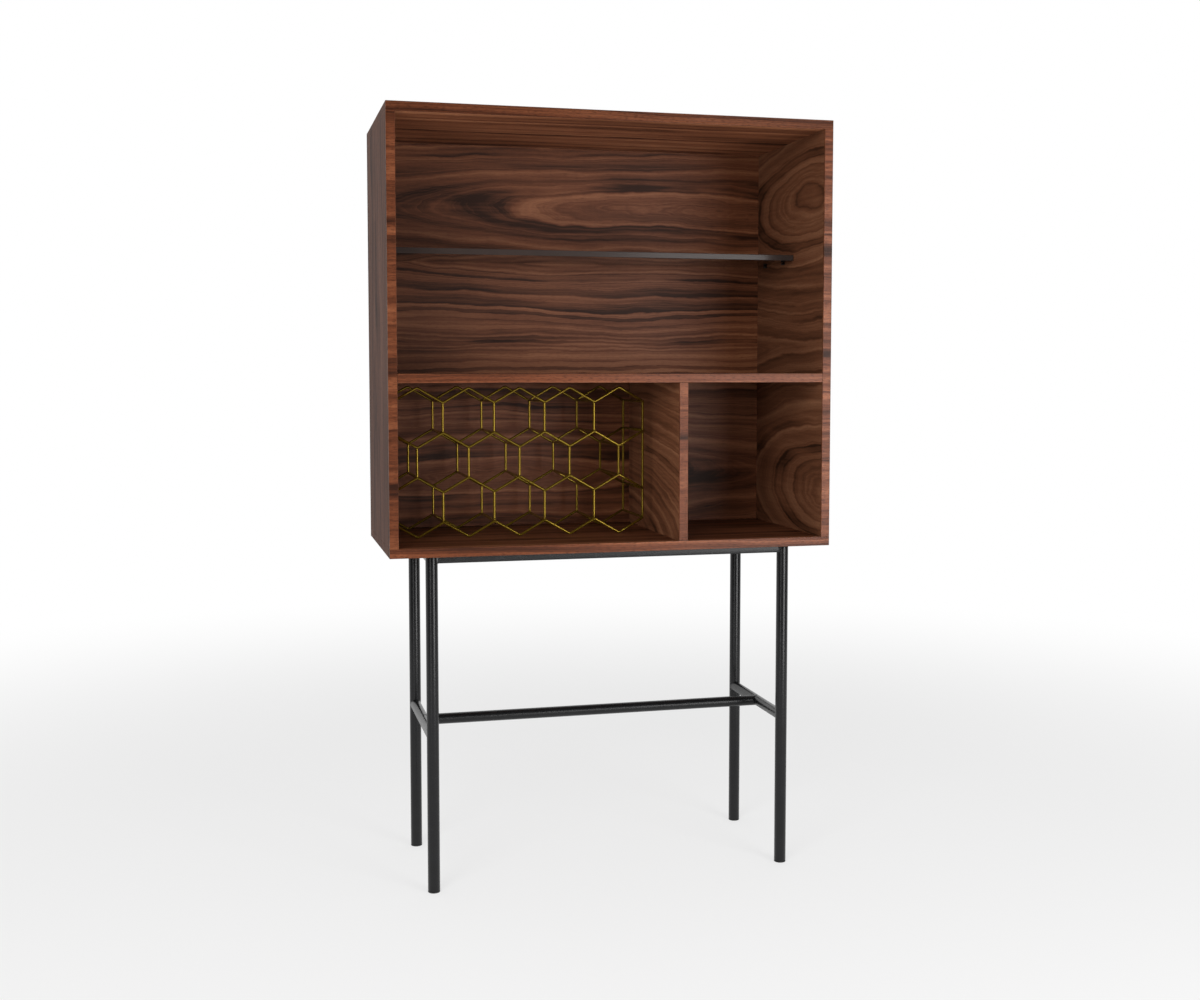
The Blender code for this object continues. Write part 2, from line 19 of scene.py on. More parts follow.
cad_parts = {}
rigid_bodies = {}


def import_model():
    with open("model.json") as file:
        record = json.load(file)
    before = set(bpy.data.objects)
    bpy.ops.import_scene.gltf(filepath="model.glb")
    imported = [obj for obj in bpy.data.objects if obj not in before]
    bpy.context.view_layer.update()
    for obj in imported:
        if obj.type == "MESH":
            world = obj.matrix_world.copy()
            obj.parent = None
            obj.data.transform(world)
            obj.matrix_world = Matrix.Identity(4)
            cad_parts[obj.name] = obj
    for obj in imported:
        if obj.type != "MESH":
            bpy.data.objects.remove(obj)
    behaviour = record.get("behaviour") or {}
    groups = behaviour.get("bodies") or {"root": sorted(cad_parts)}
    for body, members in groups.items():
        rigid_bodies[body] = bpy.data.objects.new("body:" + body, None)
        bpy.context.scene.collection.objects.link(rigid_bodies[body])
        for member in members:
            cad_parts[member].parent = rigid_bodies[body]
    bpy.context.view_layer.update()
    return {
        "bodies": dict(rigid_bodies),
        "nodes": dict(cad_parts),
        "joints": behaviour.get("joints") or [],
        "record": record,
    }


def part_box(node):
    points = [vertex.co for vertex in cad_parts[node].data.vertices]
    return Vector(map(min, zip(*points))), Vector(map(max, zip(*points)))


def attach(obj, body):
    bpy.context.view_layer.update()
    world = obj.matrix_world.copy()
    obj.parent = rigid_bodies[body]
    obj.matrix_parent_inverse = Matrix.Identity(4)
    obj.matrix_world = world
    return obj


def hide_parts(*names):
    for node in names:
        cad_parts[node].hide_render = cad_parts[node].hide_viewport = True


LOG = logging.getLogger("bar_cabinet")

Place = tuple[float, float, float]
Colour = tuple[float, float, float]
Pair = tuple[float, float]
Values = dict[str | int, object]
Shape = bmesh.types.BMesh
Points = list[bmesh.types.BMVert]
Edges = list[bmesh.types.BMEdge]
Socket = bpy.types.NodeSocket
Sockets = bpy.types.NodeOutputs
Node = bpy.types.Node
Material = bpy.types.Material

# How near two points are merged, how near a face is to its board's box, and what counts as flat or sharp
MERGE_GAP = 0.00001
BOX_GAP = 0.0001
FLAT_ANGLE = math.radians(0.5)
SHARP_ANGLE = math.radians(40)
ROUND_PROFILE = 0.5
KEEP_MATERIAL = -1

# Words in the names of the pieces that come in rows and pairs
ROWS = ("front", "rear")
HANDS = ("left", "right")


class Graph:
    """A node tree that places nodes and joins their sockets."""

    MIX_INPUTS: ClassVar[tuple[int, ...]] = (0, 6, 7)
    MIX_RESULT: ClassVar[int] = 2

    def __init__(self, tree: bpy.types.NodeTree) -> None:
        """Work on one tree."""
        self.tree = tree

    @classmethod
    def of_material(cls, name: str) -> tuple[Material, Graph, Node]:
        """Start a material.

        Args:
            name: Name of the material.

        Returns:
            The material, its graph and its Principled shader.
        """
        material = bpy.data.materials.new(name)
        material.use_nodes = True
        return material, cls(material.node_tree), material.node_tree.nodes["Principled BSDF"]

    def add(self, kind: str, values: Values | None = None, **settings: object) -> Node:
        """Place a node.

        Args:
            kind: The node's type, without its ShaderNode prefix.
            values: What its inputs are fed, by name or number.
            **settings: Properties to set on the node first.

        Returns:
            The new node.
        """
        node = self.tree.nodes.new(f"ShaderNode{kind}")
        for name, value in settings.items():
            setattr(node, name, value)
        self.fill(node, values or {})
        return node

    def fill(self, node: Node, values: Values) -> None:
        """Join outputs to a node's inputs, or set the inputs to constants.

        Args:
            node: Node to feed.
            values: Output socket, number, vector or colour for each input, by name or number.
        """
        for key, value in values.items():
            socket = node.inputs[key]
            if isinstance(value, Socket):
                self.tree.links.new(value, socket)
            elif socket.type == "RGBA":
                socket.default_value = (*value[:3], 1.0)
            else:
                socket.default_value = value

    def math(self, operation: str, *values: object) -> Socket:
        """Work out one number from the inputs of a Math node, in order."""
        return self.add("Math", dict(enumerate(values)), operation=operation).outputs[0]

    def vector(self, operation: str, *values: object) -> Socket:
        """Work out a vector, or the length of one, from the inputs of a Vector Math node, in order."""
        node = self.add("VectorMath", dict(enumerate(values)), operation=operation)
        return node.outputs["Value" if operation == "LENGTH" else "Vector"]

    def scaled(self, vector: object, factor: object) -> Socket:
        """Multiply a vector by a number."""
        return self.add("VectorMath", {0: vector, "Scale": factor}, operation="SCALE").outputs["Vector"]

    def span(self, value: object, start: float, end: float, low: object = 0.0, high: object = 1.0,
             smooth: bool = False) -> Socket:
        """Spread a range of numbers over another range, clamped.

        Args:
            value: Number to spread.
            start: Value that gives low.
            end: Value that gives high.
            low: Result at start.
            high: Result at end.
            smooth: Ease in and out instead of running straight.

        Returns:
            The spread number.
        """
        values = dict(enumerate((value, start, end, low, high)))
        run = "SMOOTHSTEP" if smooth else "LINEAR"
        return self.add("MapRange", values, interpolation_type=run).outputs["Result"]

    def noise(self, read: object, layers: float = 2.0, strength: float = 0.5, line: bool = False) -> Sockets:
        """Place a noise whose features are about one unit of what it reads.

        Args:
            read: Vector, or the number that random bands follow.
            layers: Number of finer layers.
            strength: Strength of the finer layers.
            line: Read a number instead of a vector.

        Returns:
            The noise's outputs.
        """
        values = {"W" if line else "Vector": read, "Scale": 1.0, "Detail": layers, "Roughness": strength}
        return self.add("TexNoise", values, noise_dimensions="1D" if line else "3D").outputs

    def bands(self, number: object, layers: float = 2.0, strength: float = 0.5) -> Socket:
        """Random bands along one number."""
        return self.noise(number, layers, strength, line=True)["Fac"]

    def mix(self, *values: object) -> Socket:
        """Mix colours: the share of the second, the first and the second."""
        node = self.add("Mix", dict(zip(self.MIX_INPUTS, values)), data_type="RGBA")
        return node.outputs[self.MIX_RESULT]

    def join(self, *values: object) -> Socket:
        """Mix shaders: the share of the second, the first and the second."""
        return self.add("MixShader", dict(enumerate(values))).outputs["Shader"]

    def bump(self, shader: Node, height: object, strength: float, distance: float) -> None:
        """Roughen a shader's normal by a height from 0 to 1 that stands for a real distance."""
        node = self.add("Bump", {"Height": height, "Strength": strength, "Distance": distance})
        self.fill(shader, {"Normal": node.outputs["Normal"]})


class Pattern:
    """A shader group that is built once and placed in each material with its own values."""

    NAME: ClassVar[str]
    INPUTS: ClassVar[dict[str, str]]
    OUTPUTS: ClassVar[dict[str, str]] = {"Color": "Color", "Roughness": "Float", "Height": "Float"}

    @classmethod
    def place(cls, graph: Graph, values: Values) -> Sockets:
        """Place the group in a material, and give its outputs."""
        tree = bpy.data.node_groups.get(cls.NAME) or cls.build()
        return graph.add("Group", values, node_tree=tree).outputs

    @classmethod
    def build(cls) -> bpy.types.NodeTree:
        """Build the group.

        Returns:
            Its node tree.
        """
        tree = bpy.data.node_groups.new(cls.NAME, "ShaderNodeTree")
        for way, sockets in (("INPUT", cls.INPUTS), ("OUTPUT", cls.OUTPUTS)):
            for name, kind in sockets.items():
                tree.interface.new_socket(name=name, in_out=way, socket_type=f"NodeSocket{kind}")
        graph = Graph(tree)
        source = tree.nodes.new("NodeGroupInput").outputs
        graph.fill(tree.nodes.new("NodeGroupOutput"), cls.draw(graph, source))
        return tree

    @classmethod
    def draw(cls, graph: Graph, source: Sockets) -> Values:
        """Draw the pattern: each kind of pattern has its own way."""
        raise NotImplementedError


@dataclass(frozen=True)
class Speckle:
    """A noise along the grain: its marks per metre on each axis, and its finer layers and their strength."""

    scale: Place
    layers: float = 1.0
    strength: float = 0.5

    def place(self, graph: Graph, grain: Socket) -> Sockets:
        """Place the noise on the grain's coordinates, and give its outputs."""
        return graph.noise(graph.vector("MULTIPLY", grain, self.scale), self.layers, self.strength)


class WalnutFigure(Pattern):
    """Growth rings of walnut round two eyes, with bands, streaks, flecks and pores along the grain."""

    NAME: ClassVar[str] = "walnut_figure"
    INPUTS: ClassVar[dict[str, str]] = {
        "Grain": "Vector", "Eye": "Vector", "Second Eye": "Vector", "Stretch": "Float", "Ring Gap": "Float",
        "Ring Start": "Float", "Wave": "Float", "Contrast": "Float", "Fleck": "Float", "Deep": "Color",
        "Warm": "Color", "Pale": "Color", "Smooth": "Float", "Rough": "Float",
    }
    # Waves of the rings, each with its share of the board's own wave
    WAVES: ClassVar[dict[Speckle, float]] = {
        Speckle((2.6, 9.0, 9.0)): 1.0, Speckle((11.0, 34.0, 34.0)): 0.34, Speckle((42.0, 120.0, 120.0)): 0.10,
    }
    NOISE_MIDDLE: ClassVar[Place] = (0.5, 0.5, 0.5)
    EYE_BLEND: ClassVar[float] = 0.012
    # Marks along the grain
    BREAK: ClassVar[Speckle] = Speckle((5.0, 26.0, 26.0), 2.0)
    STREAK: ClassVar[Speckle] = Speckle((9.0, 210.0, 210.0), 3.0, 0.6)
    TONE: ClassVar[Speckle] = Speckle((1.9, 9.0, 9.0))
    PORE: ClassVar[Speckle] = Speckle((70.0, 1500.0, 1500.0))
    FLECK: ClassVar[Speckle] = Speckle((95.0, 560.0, 560.0))
    # Where each mark starts and is full, in its noise
    BREAK_RANGE: ClassVar[Pair] = (0.36, 0.62)
    PORE_RANGE: ClassVar[Pair] = (0.58, 0.72)
    FLECK_RANGE: ClassVar[Pair] = (0.50, 0.68)
    BAND_RANGE: ClassVar[Pair] = (0.25, 0.75)
    DARK_RANGE: ClassVar[Pair] = (0.50, 0.70)
    LINE_RANGE: ClassVar[Pair] = (0.40, 0.65)
    # Bands follow the rings: their finer layers, the pace of dark ones and of lines, and a line's sharpness
    BAND_LAYERS: ClassVar[Pair] = (5.0, 0.72)
    DARK_PACE: ClassVar[float] = 0.61
    LINE_PACE: ClassVar[float] = 0.83
    LINE_POWER: ClassVar[float] = 4.0
    # How much band, streak, tone, line and dark band add to the light, from a start that centres their sum
    LIGHT_SHARES: ClassVar[tuple[float, ...]] = (0.85, 0.5, 0.9, -0.38, -0.42)
    LIGHT_START: ClassVar[float] = -1.125
    LIGHT_MIDDLE: ClassVar[float] = 0.56
    WARM_LIGHT: ClassVar[float] = 0.5
    PORE_SHADE: ClassVar[float] = 0.45
    PORE_HEIGHT: ClassVar[float] = -0.6

    @classmethod
    def draw(cls, graph: Graph, source: Sockets) -> Values:
        """Draw the figure.

        Args:
            graph: Graph of the group.
            source: Sockets of the group's input.

        Returns:
            What each output puts out.
        """
        rings = cls.rings(graph, source)
        band = graph.span(graph.bands(rings, *cls.BAND_LAYERS), *cls.BAND_RANGE)
        marks = (cls.BREAK, cls.STREAK, cls.TONE, cls.PORE, cls.FLECK)
        broken, streak, tone, pores, flecks = (mark.place(graph, source["Grain"])["Fac"] for mark in marks)
        dark_pace = graph.math("MULTIPLY", rings, cls.DARK_PACE)
        dark = graph.span(graph.bands(dark_pace), *cls.DARK_RANGE, smooth=True)
        dark = graph.math("MULTIPLY", dark, graph.span(broken, *cls.BREAK_RANGE))
        line_pace = graph.math("MULTIPLY", rings, cls.LINE_PACE)
        ring_end = graph.math("POWER", graph.math("FRACT", rings), cls.LINE_POWER)
        line = graph.math("MULTIPLY", ring_end, graph.span(graph.bands(line_pace), *cls.LINE_RANGE))
        pore = graph.span(pores, *cls.PORE_RANGE)
        fleck = graph.math("MULTIPLY", graph.span(flecks, *cls.FLECK_RANGE), source["Fleck"])
        light = cls.LIGHT_START
        for mark, share in zip((band, streak, tone, line, dark), cls.LIGHT_SHARES):
            light = graph.math("MULTIPLY_ADD", mark, share, light)
        light = graph.math("MULTIPLY_ADD", light, source["Contrast"], cls.LIGHT_MIDDLE)
        colour = graph.mix(graph.span(light, 0.0, cls.WARM_LIGHT), source["Deep"], source["Warm"])
        colour = graph.mix(graph.span(light, cls.WARM_LIGHT, 1.0), colour, source["Pale"])
        for mask in (fleck, graph.math("MULTIPLY", pore, cls.PORE_SHADE)):
            colour = graph.mix(mask, colour, source["Deep"])
        return {
            "Color": colour,
            "Roughness": graph.span(light, 0.0, 1.0, source["Rough"], source["Smooth"]),
            "Height": graph.math("MULTIPLY_ADD", pore, cls.PORE_HEIGHT, light),
        }

    @classmethod
    def rings(cls, graph: Graph, source: Sockets) -> Socket:
        """Count rings outwards from the nearer eye.

        Args:
            graph: Graph of the group.
            source: Sockets of the group's input.

        Returns:
            The ring number, with its fraction.
        """
        point = source["Grain"]
        for speckle, share in cls.WAVES.items():
            wave = graph.vector("SUBTRACT", speckle.place(graph, source["Grain"])["Color"], cls.NOISE_MIDDLE)
            reach = graph.math("MULTIPLY", source["Wave"], share)
            point = graph.vector("ADD", point, graph.scaled(wave, reach))
        squeeze = graph.add("CombineXYZ", {"X": source["Stretch"], "Y": 1.0, "Z": 1.0}).outputs["Vector"]
        reaches = []
        for eye in ("Eye", "Second Eye"):
            away = graph.vector("SUBTRACT", point, source[eye])
            reaches.append(graph.vector("LENGTH", graph.vector("MULTIPLY", away, squeeze)))
        nearer = graph.math("SMOOTH_MIN", *reaches, cls.EYE_BLEND)
        return graph.math("ADD", graph.math("DIVIDE", nearer, source["Ring Gap"]), source["Ring Start"])


class FineGrit(Pattern):
    """Two close colours and roughnesses, mottled and grained at a real size."""

    NAME: ClassVar[str] = "fine_grit"
    INPUTS: ClassVar[dict[str, str]] = {
        "Point": "Vector", "Grain Size": "Float", "Mottle Size": "Float", "Dark": "Color", "Light": "Color",
        "Smooth": "Float", "Rough": "Float",
    }
    LAYERS: ClassVar[dict[str, float]] = {"Grain Size": 1.0, "Mottle Size": 3.0}
    STRENGTH: ClassVar[float] = 0.6
    GRAIN_SHARE: ClassVar[float] = 0.3
    MASK_RANGE: ClassVar[Pair] = (0.32, 0.68)

    @classmethod
    def draw(cls, graph: Graph, source: Sockets) -> Values:
        """Draw the grit.

        Args:
            graph: Graph of the group.
            source: Sockets of the group's input.

        Returns:
            What each output puts out.
        """
        noises = []
        for size, layers in cls.LAYERS.items():
            point = graph.scaled(source["Point"], graph.math("DIVIDE", 1.0, source[size]))
            noises.append(graph.noise(point, layers, cls.STRENGTH)["Fac"])
        grain, mottle = noises
        mottle = graph.math("MULTIPLY", mottle, 1.0 - cls.GRAIN_SHARE)
        mask = graph.span(graph.math("MULTIPLY_ADD", grain, cls.GRAIN_SHARE, mottle), *cls.MASK_RANGE)
        return {
            "Color": graph.mix(mask, source["Dark"], source["Light"]),
            "Roughness": graph.span(mask, 0.0, 1.0, source["Smooth"], source["Rough"]),
            "Height": grain,
        }


class Grain(Enum):
    """Which way a board's grain runs, as the turn that brings it to X."""

    ALONG_X = (0.0, 0.0, 0.0)
    ALONG_Y = (0.0, 0.0, -math.pi / 2)
    ALONG_Z = (0.0, math.pi / 2, 0.0)

    def turned(self, place: Place) -> Vector:
        """A place of the part in the grain's own axes."""
        return Euler(self.value).to_matrix() @ Vector(place)


@dataclass(frozen=True)
class Finish:
    """A finish of the part, with its own material."""

    name: str

    def material(self) -> Material:
        """The finish's material, made once."""
        return bpy.data.materials.get(self.name) or self.build()

    def build(self) -> Material:
        """Build the material.

        Returns:
            The new material.
        """
        material, graph, shader = Graph.of_material(self.name)
        self.dress(graph, shader, graph.add("TexCoord").outputs["Object"])
        return material

    def dress(self, graph: Graph, shader: Node, point: Socket) -> None:
        """Feed the shader: each kind of finish has its own way."""
        raise NotImplementedError


@dataclass(frozen=True)
class WalnutFinish(Finish):
    """Satin lacquered walnut, with the places that its rings run round and where in the timber it was cut."""

    grain: Grain
    eye: Place
    second_eye: Place = (9.0, 9.0, 9.0)
    cut: Place = (0.0, 0.0, 0.0)
    stretch: float = 0.10
    ring_gap: float = 0.008
    ring_start: float = 0.0
    wave: float = 0.035
    contrast: float = 1.0
    fleck: float = 0.12
    tone: float = 1.0
    tint: Colour = (1.0, 1.0, 1.0)
    smooth: float = 0.42
    rough: float = 0.52
    specular: float = 0.15
    DEEP: ClassVar[Colour] = (0.034, 0.0115, 0.0052)
    WARM: ClassVar[Colour] = (0.165, 0.054, 0.0235)
    PALE: ClassVar[Colour] = (0.310, 0.120, 0.056)
    BUMP: ClassVar[float] = 0.12
    BUMP_HEIGHT: ClassVar[float] = 0.0004

    def dress(self, graph: Graph, shader: Node, point: Socket) -> None:
        """Feed the shader with this board's own cut of the figure.

        Args:
            graph: Graph of the material.
            shader: Principled shader of the material.
            point: Place on the part.
        """
        turn = {"Vector": point, "Rotation": self.grain.value, "Location": self.cut}
        figure = WalnutFigure.place(graph, {
            "Grain": graph.add("Mapping", turn).outputs["Vector"], "Eye": self.grain.turned(self.eye),
            "Second Eye": self.grain.turned(self.second_eye), "Stretch": self.stretch,
            "Ring Gap": self.ring_gap, "Ring Start": self.ring_start, "Wave": self.wave,
            "Contrast": self.contrast, "Fleck": self.fleck,
            "Deep": self.toned(self.DEEP), "Warm": self.toned(self.WARM), "Pale": self.toned(self.PALE),
            "Smooth": self.smooth, "Rough": self.rough,
        })
        graph.fill(shader, {
            "Base Color": figure["Color"], "Roughness": figure["Roughness"],
            "Specular IOR Level": self.specular,
        })
        graph.bump(shader, figure["Height"], self.BUMP, self.BUMP_HEIGHT)

    def toned(self, colour: Colour) -> Colour:
        """A colour in this board's tone and tint; on some boards these also carry painted light or shade."""
        return tuple(share * self.tone * part for share, part in zip(colour, self.tint))


@dataclass(frozen=True)
class GritFinish(Finish):
    """A coated, moulded or drawn surface in two close colours."""

    dark: Colour
    light: Colour
    smooth: float
    rough: float
    grain_size: float
    mottle_size: float
    metallic: float = 0.0
    specular: float = 0.5
    bump: float = 0.1
    bump_height: float = 0.0002

    def dress(self, graph: Graph, shader: Node, point: Socket) -> None:
        """Feed the shader with the grit.

        Args:
            graph: Graph of the material.
            shader: Principled shader of the material.
            point: Place on the part.
        """
        grit = FineGrit.place(graph, {
            "Point": point, "Grain Size": self.grain_size, "Mottle Size": self.mottle_size, "Dark": self.dark,
            "Light": self.light, "Smooth": self.smooth, "Rough": self.rough,
        })
        graph.fill(shader, {
            "Base Color": grit["Color"], "Roughness": grit["Roughness"], "Metallic": self.metallic,
            "Specular IOR Level": self.specular,
        })
        graph.bump(shader, grit["Height"], self.bump, self.bump_height)


@dataclass(frozen=True)
class GlassFinish(Finish):
    """Smoked glass with a faint haze on it."""

    tint: Colour
    smooth: float
    rough: float
    haze_size: float
    ior: float = 1.52

    def dress(self, graph: Graph, shader: Node, point: Socket) -> None:
        """Feed the shader with the haze, and make it clear.

        Args:
            graph: Graph of the material.
            shader: Principled shader of the material.
            point: Place on the part.
        """
        haze = FineGrit.place(graph, {
            "Point": point, "Grain Size": self.haze_size, "Mottle Size": self.haze_size,
            "Smooth": self.smooth, "Rough": self.rough,
        })
        graph.fill(shader, {
            "Base Color": self.tint, "Roughness": haze["Roughness"], "IOR": self.ior,
            "Transmission Weight": 1.0,
        })


class Side(Enum):
    """A face of a board's box, as its outward direction."""

    LEFT = (-1, 0, 0)
    RIGHT = (1, 0, 0)
    FRONT = (0, -1, 0)
    REAR = (0, 1, 0)
    UNDER = (0, 0, -1)
    OVER = (0, 0, 1)


class Workshop:
    """Makes pieces of shapes, and puts them on the bodies of the frame."""

    def __init__(self, frame: dict) -> None:
        """Read which body and which material slot each node has.

        Args:
            frame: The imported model.
        """
        record = frame["record"]
        self.nodes = frame["nodes"]
        self.slots = {part["node"]: part["material_slot"] for part in record["subparts"]}
        self.bodies = {}
        for body, names in record["behaviour"]["bodies"].items():
            self.bodies.update(dict.fromkeys(names, body))
        self.collection = bpy.data.collections.new("bar_cabinet_finished")
        bpy.context.scene.collection.children.link(self.collection)

    def finish(self, node: str, shape: Shape, *finishes: Finish) -> None:
        """Make the finished piece that stands for a node.

        Args:
            node: Name of the node.
            shape: Shape of the piece, which is used up.
            *finishes: Finishes of the piece in slot order.
        """
        piece = self.add(f"finished_{node}", shape, self.bodies[node], self.slots[node], *finishes)
        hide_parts(node)

    def add(self, name: str, shape: Shape, body: str, slot: str, *finishes: Finish) -> bpy.types.Object:
        """Make a piece and put it on a body.

        Args:
            name: Name of the piece.
            shape: Shape of the piece, which is used up.
            body: Body that carries the piece.
            slot: Material slot of the record; not used.
            *finishes: Finishes of the piece in slot order.

        Returns:
            The piece.
        """
        mesh = bpy.data.meshes.new(name)
        shape.to_mesh(mesh)
        shape.free()
        for finish in finishes:
            mesh.materials.append(finish.material())
        piece = bpy.data.objects.new(name, mesh)
        self.collection.objects.link(piece)
        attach(piece, body)
        LOG.info("%s: %d faces, on %s", name, len(mesh.polygons), body)
        return piece


def middle_of(node: str) -> Vector:
    """Middle of a node's box."""
    low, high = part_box(node)
    return (low + high) / 2


def half_width(node: str) -> float:
    """Half of a node's width along X, the radius of an upright round piece."""
    low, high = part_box(node)
    return (high.x - low.x) / 2


def rounded(shape: Shape, geom: Edges | Points, width: float, steps: int,
            corners: bool = False) -> list[bmesh.types.BMFace]:
    """Round edges, or the corners of an outline.

    Args:
        shape: Shape to change.
        geom: Edges or corner points.
        width: Width of the rounding.
        steps: Facets across it.
        corners: Round points instead of edges.

    Returns:
        The faces of the rounding.
    """
    return bmesh.ops.bevel(
        shape, geom=geom, offset=width, offset_type="OFFSET", segments=steps, profile=ROUND_PROFILE,
        affect="VERTICES" if corners else "EDGES", material=KEEP_MATERIAL, clamp_overlap=True,
    )["faces"]


def soften(shape: Shape, width: float, steps: int) -> None:
    """Shade a shape smooth, with its sharp edges rounded.

    Args:
        shape: Shape to change.
        width: Width of the rounding.
        steps: Facets across it.
    """
    sharp = [edge for edge in shape.edges if edge.is_manifold and edge.calc_face_angle() > SHARP_ANGLE]
    rounded(shape, sharp, width, steps)
    for face in shape.faces:
        face.smooth = True


def face_outwards(shape: Shape) -> None:
    """Turn the faces of a closed shape outwards.

    Args:
        shape: Shape to change.
    """
    bmesh.ops.recalc_face_normals(shape, faces=shape.faces)
    if shape.calc_volume(signed=True) < 0:
        bmesh.ops.reverse_faces(shape, faces=shape.faces)


def edges_of(points: Points) -> Edges:
    """Edges that meet the points, each once."""
    return list(dict.fromkeys(edge for point in points for edge in point.link_edges))


def drawn_out(shape: Shape, edges: Edges) -> tuple[Points, Edges]:
    """Draw a new ring out of an open ring, on the same place.

    Args:
        shape: Shape to change.
        edges: Edges of the open ring.

    Returns:
        Points and edges of the new ring.
    """
    grown = bmesh.ops.extrude_edge_only(shape, edges=edges)["geom"]
    points = [item for item in grown if isinstance(item, bmesh.types.BMVert)]
    return points, [item for item in grown if isinstance(item, bmesh.types.BMEdge) and item.is_boundary]


def close_bar(shape: Shape, *rings: Edges) -> None:
    """Fill the open ends of a bar or a wire, turn it outwards and shade its sides smooth.

    Args:
        shape: Shape to change.
        *rings: Edges of each open end.
    """
    for ring in rings:
        bmesh.ops.edgeloop_fill(shape, edges=ring)
    face_outwards(shape)
    for face in shape.faces:
        face.smooth = len(face.verts) == 4


def turned(profile: list[Pair], steps: int, closed: bool = False) -> Shape:
    """Turn a profile about Z.

    Args:
        profile: Points as radius and height.
        steps: Facets round the turn.
        closed: Join the last point to the first, for a tube.

    Returns:
        The turned shape.
    """
    shape = bmesh.new()
    points = [shape.verts.new((radius, 0.0, height)) for radius, height in profile]
    ends = points[1:] + points[:1] if closed else points[1:]
    edges = [shape.edges.new(pair) for pair in zip(points, ends)]
    bmesh.ops.spin(
        shape, geom=points + edges, cent=(0, 0, 0), axis=(0, 0, 1), angle=2 * math.pi, steps=steps,
        use_merge=True, use_duplicate=False,
    )
    bmesh.ops.remove_doubles(shape, verts=shape.verts, dist=MERGE_GAP)
    bmesh.ops.recalc_face_normals(shape, faces=shape.faces)
    return shape


def moved(shape: Shape, place: Vector, direction: Place = Side.OVER.value) -> Shape:
    """Put a shape in its place.

    Args:
        shape: Shape about its own origin, along Z.
        place: Where its origin goes.
        direction: Where its +Z points.

    Returns:
        The same shape.
    """
    turn = Vector(direction).to_track_quat("Z", "Y").to_matrix().to_4x4()
    bmesh.ops.transform(shape, matrix=Matrix.Translation(place) @ turn, verts=shape.verts)
    return shape


@dataclass
class Board:
    """A board or lipping, from a merged copy of its solid, with eased arrises between its exposed faces."""

    node: str
    finish: WalnutFinish
    arris: WalnutFinish
    exposed: tuple[Side, ...] = ()
    faces: dict[Side, WalnutFinish] = field(default_factory=dict)
    ease: float = 0.0009
    ease_steps: int = 3

    def __post_init__(self) -> None:
        """Read the board's box."""
        self.low, self.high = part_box(self.node)

    def build(self, workshop: Workshop) -> None:
        """Shape and dress the board.

        Args:
            workshop: Where the piece is made.
        """
        shape = bmesh.new()
        shape.from_mesh(workshop.nodes[self.node].data)
        bmesh.ops.remove_doubles(shape, verts=shape.verts, dist=MERGE_GAP)
        bmesh.ops.dissolve_limit(shape, angle_limit=FLAT_ANGLE, verts=shape.verts, edges=shape.edges)
        arrises = []
        for edge in shape.edges:
            sides = {self.side_of(face) for face in edge.link_faces}
            if len(sides) == 2 and sides <= set(self.exposed):
                arrises.append(edge)
        eased = rounded(shape, arrises, self.ease, self.ease_steps) if arrises else []
        finishes = [self.finish, self.arris]
        for side, finish in self.faces.items():
            for face in shape.faces:
                if self.side_of(face) is side:
                    face.material_index = len(finishes)
            finishes.append(finish)
        for face in eased:
            face.material_index = 1
            face.smooth = True
        workshop.finish(self.node, shape, *finishes)

    def side_of(self, face: bmesh.types.BMFace) -> Side | None:
        """Tell which face of the board's box a face lies in.

        Args:
            face: Face of the board.

        Returns:
            The side, or None for a face inside the box.
        """
        for side in Side:
            direction = Vector(side.value)
            corner = self.high if sum(side.value) > 0 else self.low
            reach = direction.dot(corner) - direction.dot(face.calc_center_median())
            if direction.dot(face.normal) > math.cos(FLAT_ANGLE) and reach < BOX_GAP:
                return side
        return None


